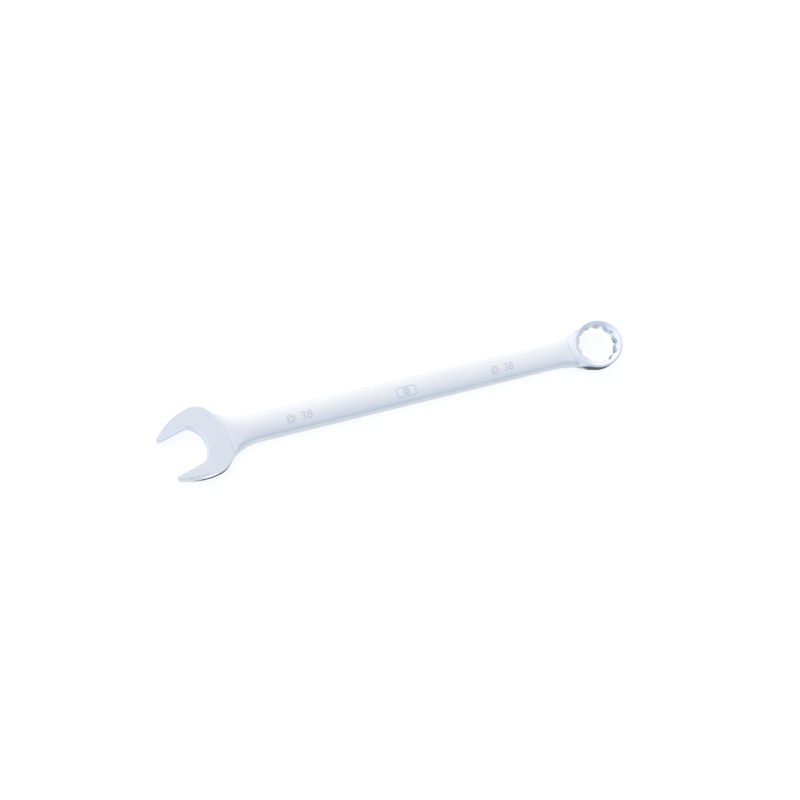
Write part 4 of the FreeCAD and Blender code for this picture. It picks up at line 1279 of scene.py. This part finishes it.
@dataclass
class Studio:
    """A pale floor, soft light and the camera. Its own sizes are in metres.

    The mirror's shade half is how far from the middle its painted shade changes from grey in front to white
    behind. The shadow fronts are where the painted shadow under each end sets in, and the card's corners are
    its lower left and its upper right.
    """

    place: Place
    aim: tuple[float, float, float] = (-0.00755, -0.003952, 0.0)
    back: tuple[float, float, float] = (-0.293657, -0.144669, 0.9449)
    up: tuple[float, float, float] = (0.22544, 0.950118, 0.21553)
    distance: float = 0.8208
    lens: float = 35.429
    sensor: float = 36.0
    clip: tuple[float, float] = (0.01, 20.0)
    floor_half: float = 4.0
    floor_drop: float = 0.0006
    mirror_drop: float = 0.0003
    mirror_shade_half: float = 0.03
    floor_tint: float = 0.2
    floor_glow: float = 0.83
    head_shadow_front: tuple[tuple[float, float], ...] = ((-0.231, -0.219), (-0.004, -0.014))
    ring_shadow_front: tuple[float, float] = (-0.006, -0.016)
    card: tuple[tuple[float, float, float], ...] = ((-0.215, -0.15, 0.012), (-0.150, -0.15, 0.062))
    card_glow: float = 1.4
    lamp_at: tuple[float, float, float] = (-0.5, 0.9, 1.1)
    lamp_size: float = 1.5
    lamp_power: float = 4.0

    def world(self) -> None:
        """Light the scene all round: brightest from behind, darkest low in front, with a few soft panels."""
        world = bpy.data.worlds.new("studio")
        bpy.context.scene.world = world
        world.use_nodes = True
        nodes = Nodes(world.node_tree)
        way = nodes.add("ShaderNodeSeparateXYZ", {0: nodes.add("ShaderNodeTexCoord").outputs["Generated"]})
        x, y, z = way.outputs
        colour = nodes.ramp(nodes.between(y, -1.0, 1.0, 0.0, 1.0), SKY)
        off = [nodes.math("POWER", nodes.math("SUBTRACT", axis, middle), 2.0)
               for axis, middle in zip((x, y), OVERHEAD)]
        measures = {"x": x, "y": y, "z": z, "off": nodes.math("SQRT", nodes.math("ADD", *off))}
        for panel in PANELS:
            share = nodes.product(
                nodes.between(measures[fade.measure], fade.start, fade.end,
                              *((0.0, 1.0) if fade.sets_in else (1.0, 0.0))) for fade in panel.fades)
            colour = nodes.blend(share, colour, (*panel.tint, 1.0), kind="RGBA")
        world.node_tree.links.new(colour, world.node_tree.nodes["Background"].inputs["Color"])

    def plate(self, name: str, corners: Sequence[tuple[float, float, float]],
              material: bpy.types.Material) -> bpy.types.Object:
        """A flat four-sided piece of the studio, in metres."""
        mesh = bpy.data.meshes.new(name)
        mesh.from_pydata(corners, [], [(0, 1, 2, 3)])
        mesh.materials.append(material)
        piece = bpy.data.objects.new(name, mesh)
        bpy.context.scene.collection.objects.link(piece)
        return piece

    def glowing(self, name: str, strength: float) -> tuple[bpy.types.Material, Nodes, bpy.types.NodeSocket]:
        """A material that only gives off light.

        Args:
            name: the material's name.
            strength: how strongly it glows.

        Returns:
            The material, its nodes, and the socket for its colour.
        """
        made = bpy.data.materials.new(name)
        made.use_nodes = True
        nodes = Nodes(made.node_tree)
        nodes.tree.nodes.remove(nodes.tree.nodes["Principled BSDF"])
        shine = nodes.add("ShaderNodeEmission", {"Color": (1.0, 1.0, 1.0, 1.0), "Strength": strength})
        nodes.tree.links.new(shine.outputs[0], nodes.tree.nodes["Material Output"].inputs[0])
        return made, nodes, shine.inputs["Color"]

    def painted_shadow_floor(self) -> bpy.types.Material:
        """The floor that the plate mirrors, painted with shade and shadows: white behind, painted shade grey
        in front, painted shadows dark close under the two ends and blue-grey inside the jaw and the ring's
        hole.
        """
        made, nodes, glow = self.glowing("shaded_floor", 1.0)
        here = nodes.add("ShaderNodeTexCoord").outputs["Object"]
        x, y, _ = nodes.add("ShaderNodeSeparateXYZ", {0: here}).outputs
        # Painted shade: grey in front of the wrench, white behind.
        colour = nodes.ramp(nodes.between(y, -self.mirror_shade_half, self.mirror_shade_half, 0.0, 1.0), MIRROR_SHADE)
        middles = {End.HEAD: self.place.crossing[:2] + vec(-15.0, -3.0), End.RING: self.place.ring_centre[:2]}
        # Where the painted shadow under each end sets in.
        shadow_fronts = {End.HEAD: nodes.product(nodes.between(axis, *reach, 0.0, 1.0)
                                          for axis, reach in zip((x, y), self.head_shadow_front)),
                  End.RING: nodes.between(y, *self.ring_shadow_front, 0.0, 1.0)}
        # Each painted shadow laid over the painted shade.
        for patch in PAINTED_SHADOWS:
            centre = (middles[patch.end] + vec(*patch.shift)) * MM
            off = nodes.add("ShaderNodeVectorMath", {0: here, 1: (*centre, 0.0)},
                            operation="DISTANCE").outputs["Value"]
            near = nodes.between(off, patch.solid * MM, patch.clear * MM, 1.0, 0.0)
            share = nodes.product((shadow_fronts[patch.end] if patch.in_front else 1.0, near))
            colour = nodes.blend(share, colour, (*patch.tint, 1.0), kind="RGBA")
        nodes.tree.links.new(colour, glow)
        return made

    def floor(self) -> None:
        """Lay the pale floor, and just over it the one that only the plate mirrors, with its painted shade
        and shadows, and stand the card.
        """
        pale = bpy.data.materials.new("pale_floor")
        pale.use_nodes = True
        shader = pale.node_tree.nodes["Principled BSDF"]
        for name, value in (("Base Color", (*[self.floor_tint] * 3, 1.0)), ("Roughness", 0.9),
                            ("Specular IOR Level", 0.1), ("Emission Color", (1.0, 1.0, 1.0, 1.0)),
                            ("Emission Strength", self.floor_glow)):
            shader.inputs[name].default_value = value
        corners = [(x * self.floor_half, y * self.floor_half)
                   for x, y in ((-1, -1), (1, -1), (1, 1), (-1, 1))]
        floor = self.plate("floor", [(x, y, -self.floor_drop) for x, y in corners], pale)
        floor.visible_glossy = False
        # A plate that only reflections see, carrying the painted shade and shadows.
        mirror = self.plate("painted_shadow_floor", [(x, y, -self.mirror_drop) for x, y in corners],
                            self.painted_shadow_floor())
        (left, front, low), (right, back, high) = self.card
        card = self.plate("reflector", [(left, front, low), (right, front, low),
                                        (right, back, high), (left, back, high)],
                          self.glowing("white_card", self.card_glow)[0])
        for unseen in (mirror, card):
            unseen.visible_camera = unseen.visible_diffuse = unseen.visible_shadow = False

    def camera(self) -> None:
        """Set the camera down over the jaw, looking along the wrench from above."""
        data = bpy.data.cameras.new("camera")
        data.lens, data.sensor_width = self.lens, self.sensor
        data.clip_start, data.clip_end = self.clip
        camera = bpy.data.objects.new("camera", data)
        bpy.context.scene.collection.objects.link(camera)
        back, up = Vector(self.back), Vector(self.up)
        spin = Matrix((up.cross(back), up, back)).transposed().to_4x4()
        camera.matrix_world = Matrix.Translation(Vector(self.aim) + back * self.distance) @ spin
        bpy.context.scene.camera = camera

    def lamp(self) -> None:
        """Hang one soft lamp that faces the wrench."""
        light = bpy.data.lights.new("key_light", "AREA")
        light.energy, light.size, light.shape = self.lamp_power, self.lamp_size, "DISK"
        lamp = bpy.data.objects.new("key_light", light)
        bpy.context.scene.collection.objects.link(lamp)
        lamp.location = self.lamp_at
        lamp.visible_glossy = False
        lamp.rotation_euler = Vector(self.lamp_at).to_track_quat("Z", "Y").to_euler()

    def build(self) -> None:
        """Set up the whole studio."""
        self.world()
        self.floor()
        self.camera()
        self.lamp()
        bpy.context.scene.view_settings.view_transform = "Standard"


def main() -> None:
    """Build the wrench and the studio, and report each piece."""
    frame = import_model()
    place = Place.read(frame["record"])
    polished, satin, stamped = POLISHED.material(), SATIN.material(), STAMPED.material()
    for maker, node, finish in ((OpenEnd(place), "open_end", polished), (Bar(place), "shank", satin),
                                (BoxEnd(place), "box_end", polished)):
        piece = maker.build()
        piece.data.materials.append(finish)
        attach(piece, "root")
        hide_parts(node)
    marks = Marks(place)
    tree = marks.tree()
    for mark in Mark:
        piece = marks.build(mark, tree, stamped)
        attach(piece, "root")
        log.info("%s: %d faces", piece.name, len(piece.data.polygons))
    Studio(place).build()


if __name__ == "__main__":
    logging.basicConfig(level=logging.INFO)
    main()
